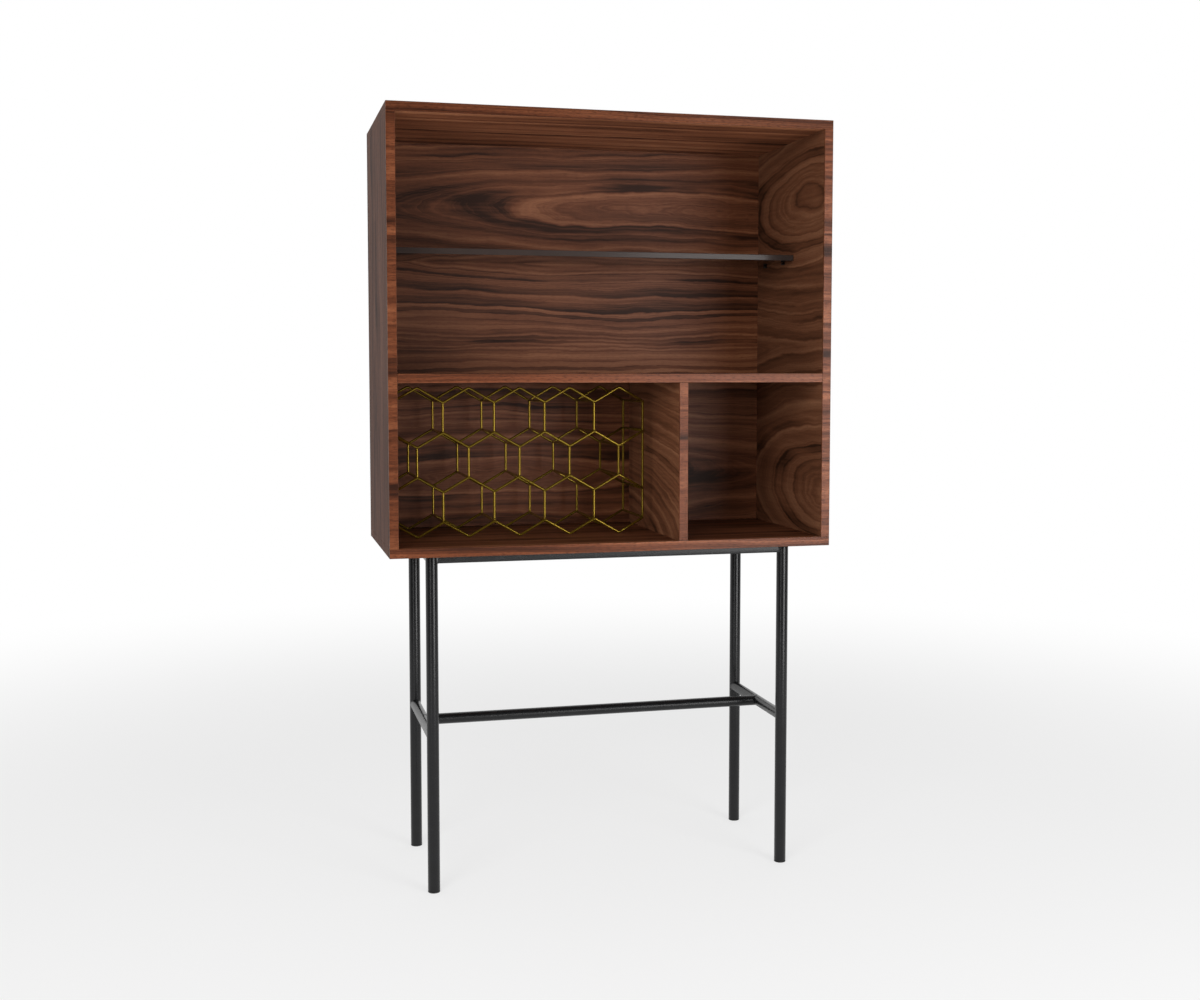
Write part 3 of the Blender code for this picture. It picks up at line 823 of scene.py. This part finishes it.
@dataclass
class Case:
    """The walnut case: four outer boards, shelf, divider, back and the lippings on the front edges."""

    workshop: Workshop
    lipping_ease: float = 0.0006
    arris: WalnutFinish = WalnutFinish("walnut_arris", Grain.ALONG_X, (0.0, 2.0, 0.0), tone=0.55)
    straight: WalnutFinish = WalnutFinish(
        "walnut_straight", Grain.ALONG_X, (0.1, 1.3, 1.1), stretch=0.02, ring_gap=0.030, wave=0.03,
        contrast=1.2, tone=0.85,
    )
    # Underside of the top: a brighter, cooler copy of the straight walnut, painted bounce light from the
    # floor below.
    top_inner_painted_light: WalnutFinish = replace(
        straight, name="walnut_top_inner", tone=1.60, tint=(1.0, 1.08, 1.15),
    )
    top_face: WalnutFinish = WalnutFinish(
        "walnut_top_face", Grain.ALONG_X, (0.26, 0.03, 1.49), (-0.75, -0.06, 1.47), stretch=0.11,
        ring_gap=0.0075,
    )
    # Back panel toned darker than the other boards: painted shade, as if bottles stood on the shelves in
    # front of it.
    back: WalnutFinish = WalnutFinish(
        "walnut_back", Grain.ALONG_X, (0.35, 0.205, 1.385), (-0.2, 0.21, 0.80), stretch=0.090,
        ring_gap=0.0157, ring_start=21.7, contrast=1.15, tone=0.70,
    )
    # Right inner face: toned down for painted shade, and tinted cooler for a painted pale sheen.
    right_inner: WalnutFinish = WalnutFinish(
        "walnut_right_inner", Grain.ALONG_Y, (0.470, -0.12, 1.385), (0.475, -0.25, 0.785), stretch=0.30,
        ring_gap=0.0165, ring_start=16.2, contrast=0.84, tone=0.83, tint=(1.0, 1.18, 1.32),
    )
    left_inner: WalnutFinish = WalnutFinish(
        "walnut_left_inner", Grain.ALONG_Y, (-0.45, 0.16, 1.30), (-0.46, -0.20, 0.84), stretch=0.28,
        ring_gap=0.0075,
    )
    # Outer sides toned well below the other boards: painted shade, so the side faces come out darker than the
    # front.
    outer: WalnutFinish = WalnutFinish(
        "walnut_outer_sides", Grain.ALONG_Z, (0.0, 0.04, 1.0), stretch=0.05, ring_gap=0.008, wave=0.02,
        contrast=0.85, fleck=0.6, tone=0.52, smooth=0.62, rough=0.74,
    )
    # Divider: tinted cooler for a painted pale sheen.
    divider: WalnutFinish = WalnutFinish(
        "walnut_divider", Grain.ALONG_Y, (0.115, 0.25, 0.66), stretch=0.30, ring_gap=0.012, ring_start=4.9,
        contrast=0.8, tone=1.08, tint=(1.0, 1.18, 1.32),
    )
    long_lipping: WalnutFinish = WalnutFinish(
        "walnut_long_lipping", Grain.ALONG_X, (0.1, -0.6, 0.2), cut=(18.94, 0.0, 0.0), stretch=0.02,
        ring_gap=0.006, wave=0.012, contrast=1.2, fleck=0.5, tone=0.83, tint=(1.0, 0.88, 0.82), smooth=0.26,
        rough=0.36, specular=0.13,
    )
    top_lipping: WalnutFinish = replace(
        long_lipping, name="walnut_top_lipping", cut=(25.79, 0.0, 0.0), tone=0.56,
    )
    shelf_lipping: WalnutFinish = replace(
        long_lipping, name="walnut_shelf_lipping", cut=(3.87, 0.0, 0.0), tone=0.88,
    )
    right_lipping: WalnutFinish = replace(
        long_lipping, name="walnut_right_lipping", eye=(0.0, -0.2, -8.0), cut=(0.0, 0.0, -0.0675),
        stretch=0.05, ring_gap=0.020, wave=0.008, contrast=1.15, tone=0.87,
    )
    # Left lipping toned darker than the right one: painted shade, the light falling off towards the left.
    left_lipping: WalnutFinish = replace(
        right_lipping, name="walnut_left_lipping", cut=(0.0, 0.0, 14.73), contrast=1.0, tone=0.72,
    )
    divider_lipping: WalnutFinish = replace(
        right_lipping, name="walnut_divider_lipping", cut=(0.0, 0.0, 22.74), contrast=0.9,
    )

    def boards(self) -> Iterator[Board]:
        """List the boards and the lippings.

        Returns:
            Each board with its finishes.
        """
        rims = (Side.LEFT, Side.RIGHT, Side.REAR)
        ends = {Side.LEFT: self.outer, Side.RIGHT: self.outer}
        top_faces = {Side.OVER: self.top_face, **ends}
        yield Board("top_panel", self.top_inner_painted_light, self.arris, (*rims, Side.OVER), top_faces)
        yield Board("bottom_panel", self.straight, self.arris, (*rims, Side.UNDER), ends)
        sides = {"left_side": (Side.LEFT, self.left_inner), "right_side": (Side.RIGHT, self.right_inner)}
        for node, (out, inner) in sides.items():
            yield Board(node, inner, self.arris, (out, Side.REAR), {out: self.outer})
        yield Board("middle_shelf", self.straight, self.arris)
        yield Board("divider", self.divider, self.arris)
        yield Board("back_panel", self.back, self.arris)
        around = (Side.FRONT, Side.LEFT, Side.RIGHT)
        lippings = {
            "top": (self.top_lipping, (*around, Side.OVER)),
            "bottom": (self.long_lipping, (*around, Side.UNDER)),
            "middle_shelf": (self.shelf_lipping, (Side.FRONT, Side.OVER, Side.UNDER)),
            "left_side": (self.left_lipping, around),
            "right_side": (self.right_lipping, around),
            "divider": (self.divider_lipping, around),
        }
        for name, (finish, exposed) in lippings.items():
            yield Board(f"{name}_lipping", finish, self.arris, exposed, ease=self.lipping_ease)

    def build(self) -> None:
        """Make every board."""
        for board in self.boards():
            board.build(self.workshop)


@dataclass
class GlassShelf:
    """The smoked glass shelf and the four pins that carry it."""

    workshop: Workshop
    arris: float = 0.0010
    arris_steps: int = 3
    pin_nose: float = 0.0012
    pin_sides: int = 32
    glass: GlassFinish = GlassFinish("smoked_glass", (0.045, 0.040, 0.036), 0.01, 0.04, 0.03)
    edge: GritFinish = GritFinish(
        "ground_glass_edge", (0.033, 0.024, 0.021), (0.040, 0.029, 0.0255), 0.15, 0.19, 0.0008, 0.06,
        specular=0.13, bump=0.01,
    )
    steel: GritFinish = GritFinish(
        "dark_pin_steel", (0.05, 0.046, 0.042), (0.085, 0.08, 0.075), 0.30, 0.45, 0.0006, 0.004, metallic=1.0,
    )

    def build(self) -> None:
        """Make the glass and its pins."""
        self.build_glass()
        for row in ROWS:
            for hand, inward in zip(HANDS, (Side.RIGHT, Side.LEFT)):
                self.build_pin(f"shelf_pin_{row}_{hand}", inward)

    def build_glass(self) -> None:
        """Make the pane, with rounded arrises and ground edges."""
        low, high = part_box("glass_shelf")
        shape = bmesh.new()
        bmesh.ops.create_cube(shape, size=1.0)
        bmesh.ops.scale(shape, vec=high - low, verts=shape.verts)
        bmesh.ops.translate(shape, vec=(low + high) / 2, verts=shape.verts)
        rounded(shape, shape.edges[:], self.arris, self.arris_steps)
        for face in shape.faces:
            face.material_index = int(abs(face.normal.z) < math.cos(SHARP_ANGLE))
        self.workshop.finish("glass_shelf", shape, self.glass, self.edge)

    def build_pin(self, node: str, inward: Side) -> None:
        """Make a pin with a rounded nose.

        Args:
            node: Name of the pin's node.
            inward: Where the nose points.
        """
        low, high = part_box(node)
        radius = (high.z - low.z) / 2
        half = half_width(node)
        shape = turned([(0.0, half), (radius, half), (radius, -half), (0.0, -half)], self.pin_sides)
        soften(shape, self.pin_nose, self.arris_steps)
        self.workshop.finish(node, moved(shape, middle_of(node), inward.value), self.steel)


class Section(Enum):
    """Cross-section of a bar of the stand."""

    ROUND = "round"
    SQUARE = "square"


@dataclass
class Strut:
    """A bar of the stand between two round posts, with its ends shaped to them and a weld at each end."""

    node: str
    start: Vector
    end: Vector
    post_radius: float
    section: Section
    size: float
    level_posts: bool = False
    sides: int = 48
    corner: float = 0.0022
    corner_steps: int = 4
    # Distance from the post and height over the bar, from the post outwards
    weld: tuple[Pair, ...] = ((0.0001, 0.0008), (0.0008, 0.0006), (0.0018, 0.0002), (0.0030, 0.0))

    def build(self, workshop: Workshop, finish: Finish) -> None:
        """Shape and dress the bar.

        Args:
            workshop: Where the piece is made.
            finish: Finish of the bar.
        """
        shape = bmesh.new()
        ring = self.ring(shape)
        half = (self.end - self.start).length / 2
        stations = [(-1, *step) for step in self.weld] + [(1, *step) for step in reversed(self.weld)]
        outline = {vert: vert.co.copy() for vert in ring}
        first = edges = edges_of(ring)
        for count, (way, gap, swell) in enumerate(stations):
            if count:
                news, edges = drawn_out(shape, edges)
                outline = self.follow(outline, news)
            for vert, flat in outline.items():
                wide = flat * (1 + swell / (self.size / 2))
                across = wide.z if self.level_posts else wide.y
                reach = half - gap - math.sqrt(max(self.post_radius ** 2 - across ** 2, 0.0))
                vert.co = Vector((way * reach, wide.y, wide.z))
        close_bar(shape, first, edges)
        turn = (self.end - self.start).to_track_quat("X", "Z").to_matrix().to_4x4()
        place = Matrix.Translation((self.start + self.end) / 2)
        bmesh.ops.transform(shape, matrix=place @ turn, verts=shape.verts)
        workshop.finish(self.node, shape, finish)

    def ring(self, shape: Shape) -> Points:
        """Draw the cross-section across X.

        Args:
            shape: Shape to draw in.

        Returns:
            The points of the cross-section.
        """
        face_x = Matrix.Rotation(math.pi / 2, 4, "Y")
        if self.section is Section.ROUND:
            radius = self.size / 2
            return bmesh.ops.create_circle(shape, segments=self.sides, radius=radius, matrix=face_x)["verts"]
        radius = self.size / math.sqrt(2)
        turn = face_x @ Matrix.Rotation(math.pi / 4, 4, "Z")
        corners = bmesh.ops.create_circle(shape, segments=4, radius=radius, matrix=turn)["verts"]
        rounded(shape, corners, self.corner, self.corner_steps, corners=True)
        return list(shape.verts)

    @staticmethod
    def follow(outline: dict[bmesh.types.BMVert, Vector], news: Points) -> dict[bmesh.types.BMVert, Vector]:
        """Hand the flat outline on from a ring to the ring extruded from it.

        Args:
            outline: Flat place of each point of the old ring.
            news: Points of the new ring.

        Returns:
            Flat place of each point of the new ring.
        """
        passed = {}
        for vert in news:
            for edge in vert.link_edges:
                old = edge.other_vert(vert)
                if old in outline:
                    passed[vert] = outline[old]
        return passed


@dataclass
class Stand:
    """The black tube stand: legs, glides, rails, stretchers and the screws that hold the case."""

    workshop: Workshop
    wall: float = 0.0015
    rim: float = 0.0030
    rim_round: float = 0.0008
    tube_round: float = 0.0004
    plug_gap: float = 0.0003
    stretcher: float = 0.022
    rail: float = 0.016
    screw_head: float = 0.0030
    screw_shank: float = 0.0025
    socket_size: float = 0.0022
    socket_sides: int = 6
    socket_depth: float = 0.0016
    sides: int = 64
    steps: int = 3
    coat: GritFinish = GritFinish(
        "black_powder_coat_finish", (0.005, 0.005, 0.0054), (0.008, 0.008, 0.0087), 0.24, 0.29, 0.0006, 0.03,
        specular=0.32, bump=0.012,
    )
    plastic: GritFinish = GritFinish(
        "black_plastic_finish", (0.008, 0.008, 0.008), (0.016, 0.016, 0.016), 0.50, 0.65, 0.0008, 0.006,
    )
    zinc: GritFinish = GritFinish(
        "zinc_screw_finish", (0.40, 0.40, 0.39), (0.56, 0.56, 0.54), 0.28, 0.42, 0.0005, 0.003, metallic=1.0,
    )

    def build(self) -> None:
        """Make every piece of the stand."""
        posts = {}
        for row in ROWS:
            for hand in HANDS:
                posts[row, hand] = middle_of(f"{row}_{hand}_leg")
                self.build_leg(f"{row}_{hand}_leg")
                self.build_glide(f"{row}_{hand}_glide")
                self.build_screw(f"frame_screw_{row}_{hand}")
        spans = {f"{row}_rail": [posts[row, hand] for hand in HANDS] for row in ROWS}
        for hand in HANDS:
            spans[f"{hand}_rail"] = [posts[row, hand] for row in ROWS]
            spans[f"{hand}_stretcher"] = spans[f"{hand}_rail"]
        spans["centre_stretcher"] = [(posts["front", hand] + posts["rear", hand]) / 2 for hand in HANDS]
        for node, ends in spans.items():
            self.build_strut(node, ends)

    def build_strut(self, node: str, ends: list[Vector]) -> None:
        """Make a rail or a stretcher at its own height.

        Args:
            node: Name of the bar's node.
            ends: Axes of the two posts that it runs between.
        """
        height = middle_of(node).z
        start, end = (Vector((post.x, post.y, height)) for post in ends)
        strut = Strut(node, start, end, half_width("rear_right_leg"), Section.ROUND, self.stretcher)
        if node.endswith("rail"):
            strut = replace(strut, section=Section.SQUARE, size=self.rail)
        elif node.startswith("centre"):
            strut = replace(strut, post_radius=self.stretcher / 2, level_posts=True)
        strut.build(self.workshop, self.coat)

    def stand_up(self, node: str, shape: Shape, finish: Finish) -> None:
        """Put a turned shape on its node's axis and dress it."""
        middle = middle_of(node)
        self.workshop.finish(node, moved(shape, Vector((middle.x, middle.y, 0))), finish)

    def build_leg(self, node: str) -> None:
        """Make a leg: a round tube with softened rims.

        Args:
            node: Name of the leg's node.
        """
        low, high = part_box(node)
        outer = half_width(node)
        inner = outer - self.wall
        profile = [(outer, low.z), (outer, high.z), (inner, high.z), (inner, low.z)]
        shape = turned(profile, self.sides, closed=True)
        soften(shape, self.tube_round, self.steps)
        self.stand_up(node, shape, self.coat)

    def build_glide(self, node: str) -> None:
        """Make a glide: a rounded rim and the plug that is pushed into the leg.

        Args:
            node: Name of the glide's node.
        """
        low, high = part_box(node)
        outer = half_width(node)
        plug = outer - self.wall - self.plug_gap
        push_in = [(0.0, high.z), (plug, high.z), (plug, self.rim)]
        shape = turned([*push_in, (outer, self.rim), (outer, low.z), (0.0, low.z)], self.sides)
        soften(shape, self.rim_round, self.steps)
        self.stand_up(node, shape, self.plastic)

    def build_screw(self, node: str) -> None:
        """Make a pan-head screw with a six-sided socket in its head, which faces down.

        Args:
            node: Name of the screw's node.
        """
        low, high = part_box(node)
        head = half_width(node)
        seat = low.z + self.screw_head
        shank = [(self.screw_shank, seat), (self.screw_shank, high.z), (0.0, high.z)]
        shape = turned([(head, low.z), (head, seat), *shank], self.sides)
        soften(shape, self.rim_round, self.steps)
        rim = [edge for edge in shape.edges if edge.is_boundary]
        ring = bmesh.ops.create_circle(
            shape, segments=self.socket_sides, radius=self.socket_size,
            matrix=Matrix.Translation((0, 0, low.z)),
        )["verts"]
        mouth = edges_of(ring)
        bmesh.ops.bridge_loops(shape, edges=rim + mouth)
        floor, edges = drawn_out(shape, mouth)
        bmesh.ops.translate(shape, vec=(0, 0, self.socket_depth), verts=floor)
        bmesh.ops.edgeloop_fill(shape, edges=edges)
        face_outwards(shape)
        self.stand_up(node, shape, self.zinc)


@dataclass
class Wire:
    """A round wire that is bent to a path."""

    radius: float
    bend: float
    sides: int = 16
    bend_steps: int = 6

    def sweep(self, corners: list[Vector], closed: bool = False) -> Shape:
        """Run a round section along a path and round its corners.

        Args:
            corners: Corners of the path.
            closed: Come back to the start.

        Returns:
            The bent wire.
        """
        if closed:
            seam = (corners[-1] + corners[0]) / 2
            corners = [seam, *corners, seam]
        shape = bmesh.new()
        ahead = (corners[1] - corners[0]).to_track_quat("Z", "Y").to_matrix().to_4x4()
        place = Matrix.Translation(corners[0]) @ ahead
        ring = bmesh.ops.create_circle(shape, segments=self.sides, radius=self.radius, matrix=place)["verts"]
        first = edges = edges_of(ring)
        at = corners[0]
        for before, corner, after in zip(corners, corners[1:], corners[2:]):
            come = (corner - before).normalized()
            leave = (after - corner).normalized()
            angle = come.angle(leave)
            setback = self.bend * math.tan(angle / 2)
            edges = self.straight(shape, edges, corner - come * setback - at)
            axis = come.cross(leave).normalized()
            centre = corner - come * setback + axis.cross(come) * self.bend
            swung = bmesh.ops.spin(
                shape, geom=edges, cent=centre, axis=axis, angle=angle, steps=self.bend_steps,
                use_duplicate=False,
            )["geom_last"]
            edges = [item for item in swung if isinstance(item, bmesh.types.BMEdge)]
            at = corner + leave * setback
        edges = self.straight(shape, edges, corners[-1] - at)
        if closed:
            bmesh.ops.remove_doubles(shape, verts=shape.verts, dist=MERGE_GAP)
            close_bar(shape)
        else:
            close_bar(shape, first, edges)
        return shape

    @staticmethod
    def straight(shape: Shape, edges: Edges, run: Vector) -> Edges:
        """Draw a straight stretch out of a ring.

        Args:
            shape: Shape of the wire.
            edges: Edges of the ring.
            run: Length and direction of the stretch.

        Returns:
            Edges of the new ring.
        """
        ends, edges = drawn_out(shape, edges)
        bmesh.ops.translate(shape, vec=run, verts=ends)
        return edges


@dataclass
class BottleRack:
    """The loose honeycomb rack of gold wire, three rows of cells high."""

    workshop: Workshop
    columns: int = 5
    rows: int = 3
    pitch: float = 0.1055
    slope: float = math.radians(30)
    wire: float = 0.0025
    zigzag_bend: float = 0.0060
    loop_bend: float = 0.0030
    bead: float = 0.0021
    bead_reach: Place = (0.75, 1.0, 1.15)
    bead_splits: int = 2
    gold: GritFinish = GritFinish(
        "gold_wire_finish", (0.185, 0.119, 0.010), (0.25, 0.162, 0.0145), 0.14, 0.19, 0.0006, 0.030,
        metallic=0.78, bump=0.012,
    )

    def __post_init__(self) -> None:
        """Work out the rack's places from the frame's own boxes."""
        lowest = f"rack_front_zigzag_{self.rows + 1}"
        low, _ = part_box(lowest)
        self.middle = middle_of(lowest).x
        self.rise = self.pitch / 2 * math.tan(self.slope)
        self.step = self.pitch / 2 / math.cos(self.slope) + self.rise
        drop = self.zigzag_bend * (1 / math.cos(self.slope) - 1)
        self.base = low.z + self.wire - drop

    def low_corner(self, level: int) -> float:
        """Height of a zigzag's low corners, counted from the top zigzag down."""
        return self.base + (self.rows - level) * self.step

    def build(self) -> None:
        """Make every wire and the welds."""
        welds = []
        for level in range(self.rows + 1):
            for row in ROWS:
                self.build_zigzag(f"rack_{row}_zigzag_{level + 1}", level)
        for row in range(self.rows):
            for count in range(self.columns - 1 + row % 2):
                welds += self.build_loop(f"rack_loop_row_{row + 1}_{count + 1}")
        rods = [self.low_corner(level) + (level % 2) * self.rise for level in range(1, self.rows)]
        for hand in HANDS:
            welds += self.build_loop(f"rack_{hand}_end", rods)
        self.build_welds(welds)

    def build_zigzag(self, node: str, level: int) -> None:
        """Make one zigzag wire.

        Args:
            node: Name of the wire's node.
            level: Its place, counted from the top.
        """
        y = middle_of(node).y
        corners = []
        for index in range(2 * self.columns + 1):
            x = self.middle + (index - self.columns) * self.pitch / 2
            lift = 0.0 if index % 2 == level % 2 else self.rise
            corners.append(Vector((x, y, self.low_corner(level) + lift)))
        shape = Wire(self.wire, self.zigzag_bend).sweep(corners)
        self.workshop.finish(node, shape, self.gold)

    def build_loop(self, node: str, rods: list[float] | None = None) -> list[Vector]:
        """Make an upright loop, with a rod across it at each given height.

        Args:
            node: Name of the loop's node.
            rods: Heights of its rods.

        Returns:
            Where it is welded.
        """
        low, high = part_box(node)
        x = (low.x + high.x) / 2
        front, rear = low.y + self.wire, high.y - self.wire
        bottom, top = low.z + self.wire, high.z - self.wire
        welds = [Vector((x, y, z)) for y, z in ((front, bottom), (front, top), (rear, top), (rear, bottom))]
        wire = Wire(self.wire, self.loop_bend)
        shape = wire.sweep(welds, closed=True)
        holder = bpy.data.meshes.new(f"{node}_rod")
        for height in rods or []:
            ends = [Vector((x, y, height)) for y in (front, rear)]
            rod = wire.sweep(ends)
            rod.to_mesh(holder)
            rod.free()
            shape.from_mesh(holder)
            welds += ends
        bpy.data.meshes.remove(holder)
        self.workshop.finish(node, shape, self.gold)
        return welds

    def build_welds(self, places: list[Vector]) -> None:
        """Make the small beads that join the loops to the zigzags.

        Args:
            places: Middles of the beads.
        """
        shape = bmesh.new()
        for place in places:
            matrix = Matrix.Translation(place) @ Matrix.Diagonal((*self.bead_reach, 1.0))
            bmesh.ops.create_icosphere(
                shape, subdivisions=self.bead_splits, radius=self.bead, matrix=matrix,
            )
        for face in shape.faces:
            face.smooth = True
        self.workshop.add("rack_weld_beads", shape, "bottle_rack", "gold_wire", self.gold)


@dataclass
class Softbox:
    """A soft lamp that faces the cabinet."""

    name: str
    place: Place
    size: Pair
    power: float
    in_reflections: bool = True
    AIM: ClassVar[Place] = (0.0, 0.0, 0.9)

    def build(self) -> None:
        """Hang the lamp."""
        lamp = bpy.data.lights.new(self.name, "AREA")
        lamp.shape = "RECTANGLE"
        lamp.size, lamp.size_y = self.size
        lamp.energy = self.power
        holder = bpy.data.objects.new(self.name, lamp)
        holder.location = self.place
        holder.rotation_euler = (Vector(self.AIM) - Vector(self.place)).to_track_quat("-Z", "Y").to_euler()
        holder.visible_glossy = self.in_reflections
        bpy.context.scene.collection.objects.link(holder)


@dataclass
class Studio:
    """Pale floor, white surround, soft lamps and the camera."""

    floor_radius: float = 4.2
    floor_sides: int = 96
    floor_colour: Colour = (0.84, 0.84, 0.84)
    floor_roughness: float = 0.9
    floor_specular: float = 0.1
    floor_white: float = 0.64
    fade: Pair = (1.0, 3.6)
    surround_light: float = 0.47
    front_dim: float = 0.06
    front_range: Pair = (-0.30, 0.20)
    camera_place: Place = (-0.72273, -2.93016, 1.03179)
    camera_turn: float = 0.24629
    camera_tilt: float = 0.06647
    focal_pixels: float = 1433.1
    middle_row: float = 465.0
    frame_pixels: tuple[int, int] = (1200, 1000)
    sensor: float = 36.0
    lamps: tuple[Softbox, ...] = (
        Softbox("front_softbox", (-2.3, -3.5, 1.9), (2.2, 2.2), 82.0, in_reflections=False),
        Softbox("left_softbox", (-1.6, -2.2, 0.9), (0.5, 1.7), 8.0),
        Softbox("right_softbox", (1.40, -2.73, 0.9), (1.16, 1.7), 48.0),
    )

    def build(self) -> None:
        """Set up the whole studio."""
        self.build_floor()
        self.build_surround()
        for lamp in self.lamps:
            lamp.build()
        self.build_camera()
        bpy.context.scene.view_settings.view_transform = "Standard"

    def build_floor(self) -> None:
        """Lay a round floor that fades to white away from the cabinet, and is clear from below."""
        shape = bmesh.new()
        bmesh.ops.create_circle(shape, cap_ends=True, segments=self.floor_sides, radius=self.floor_radius)
        mesh = bpy.data.meshes.new("studio_floor")
        shape.to_mesh(mesh)
        shape.free()
        mesh.materials.append(self.floor_material())
        floor = bpy.data.objects.new("studio_floor", mesh)
        bpy.context.scene.collection.objects.link(floor)

    def floor_material(self) -> Material:
        """Make the floor's material.

        Returns:
            The new material.
        """
        material, graph, shader = Graph.of_material("studio_floor")
        graph.fill(shader, {
            "Base Color": self.floor_colour, "Roughness": self.floor_roughness,
            "Specular IOR Level": self.floor_specular,
        })
        away = graph.vector("LENGTH", graph.add("TexCoord").outputs["Object"])
        fade = graph.span(away, *self.fade, self.floor_white, 1.0, smooth=True)
        seen = graph.math("MULTIPLY", fade, graph.math("MAXIMUM", *self.seen_rays(graph)))
        white = graph.add("Emission", {"Strength": 1.0}).outputs["Emission"]
        above = graph.join(seen, shader.outputs["BSDF"], white)
        below = graph.add("NewGeometry").outputs["Backfacing"]
        surface = graph.join(below, above, graph.add("BsdfTransparent").outputs["BSDF"])
        graph.fill(material.node_tree.nodes["Material Output"], {"Surface": surface})
        return material

    @staticmethod
    def seen_rays(graph: Graph) -> tuple[Socket, Socket]:
        """Find the rays that show the background.

        Args:
            graph: Graph of a material or of the world.

        Returns:
            Masks of the camera's rays, and of the glossy and transmission rays.
        """
        path = graph.add("LightPath").outputs
        mirror = graph.math("MAXIMUM", path["Is Glossy Ray"], path["Is Transmission Ray"])
        return path["Is Camera Ray"], mirror

    def build_surround(self) -> None:
        """Make the surround white behind the cabinet, dimmer in front of it, and an even light."""
        world = bpy.data.worlds.new("studio_surround")
        world.use_nodes = True
        graph = Graph(world.node_tree)
        split = graph.add("SeparateXYZ", {0: graph.add("TexCoord").outputs["Generated"]})
        mirrored = graph.span(split.outputs["Y"], *self.front_range, self.front_dim, 1.0, smooth=True)
        camera, mirror = self.seen_rays(graph)
        unseen = graph.add("Mix", {"Factor": mirror, "A": self.surround_light, "B": mirrored}).outputs[0]
        shown = graph.add("Mix", {"Factor": camera, "A": unseen, "B": 1.0}).outputs[0]
        background = world.node_tree.nodes["Background"]
        graph.fill(background, {"Color": (1.0, 1.0, 1.0), "Strength": shown})
        bpy.context.scene.world = world

    def build_camera(self) -> None:
        """Set the camera at the photograph's angle and framing."""
        width, height = self.frame_pixels
        camera = bpy.data.cameras.new("photo_camera")
        camera.sensor_fit = "HORIZONTAL"
        camera.sensor_width = self.sensor
        camera.lens = self.sensor * self.focal_pixels / width
        camera.shift_y = (self.middle_row - height / 2) / width
        holder = bpy.data.objects.new("photo_camera", camera)
        holder.location = self.camera_place
        holder.rotation_euler = (math.pi / 2 - self.camera_tilt, 0.0, -self.camera_turn)
        bpy.context.scene.collection.objects.link(holder)
        bpy.context.scene.camera = holder


def clear_scene() -> None:
    """Remove the start-up objects."""
    for leftover in list(bpy.data.objects):
        bpy.data.objects.remove(leftover, do_unlink=True)


def main() -> None:
    """Load the frame, then make and dress every piece."""
    logging.basicConfig(level=logging.INFO, format="%(name)s: %(message)s")
    clear_scene()
    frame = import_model()
    workshop = Workshop(frame)
    for assembly in (Case, GlassShelf, Stand, BottleRack):
        LOG.info("building %s", assembly.__name__)
        assembly(workshop).build()
    Studio().build()


if __name__ == "__main__":
    main()
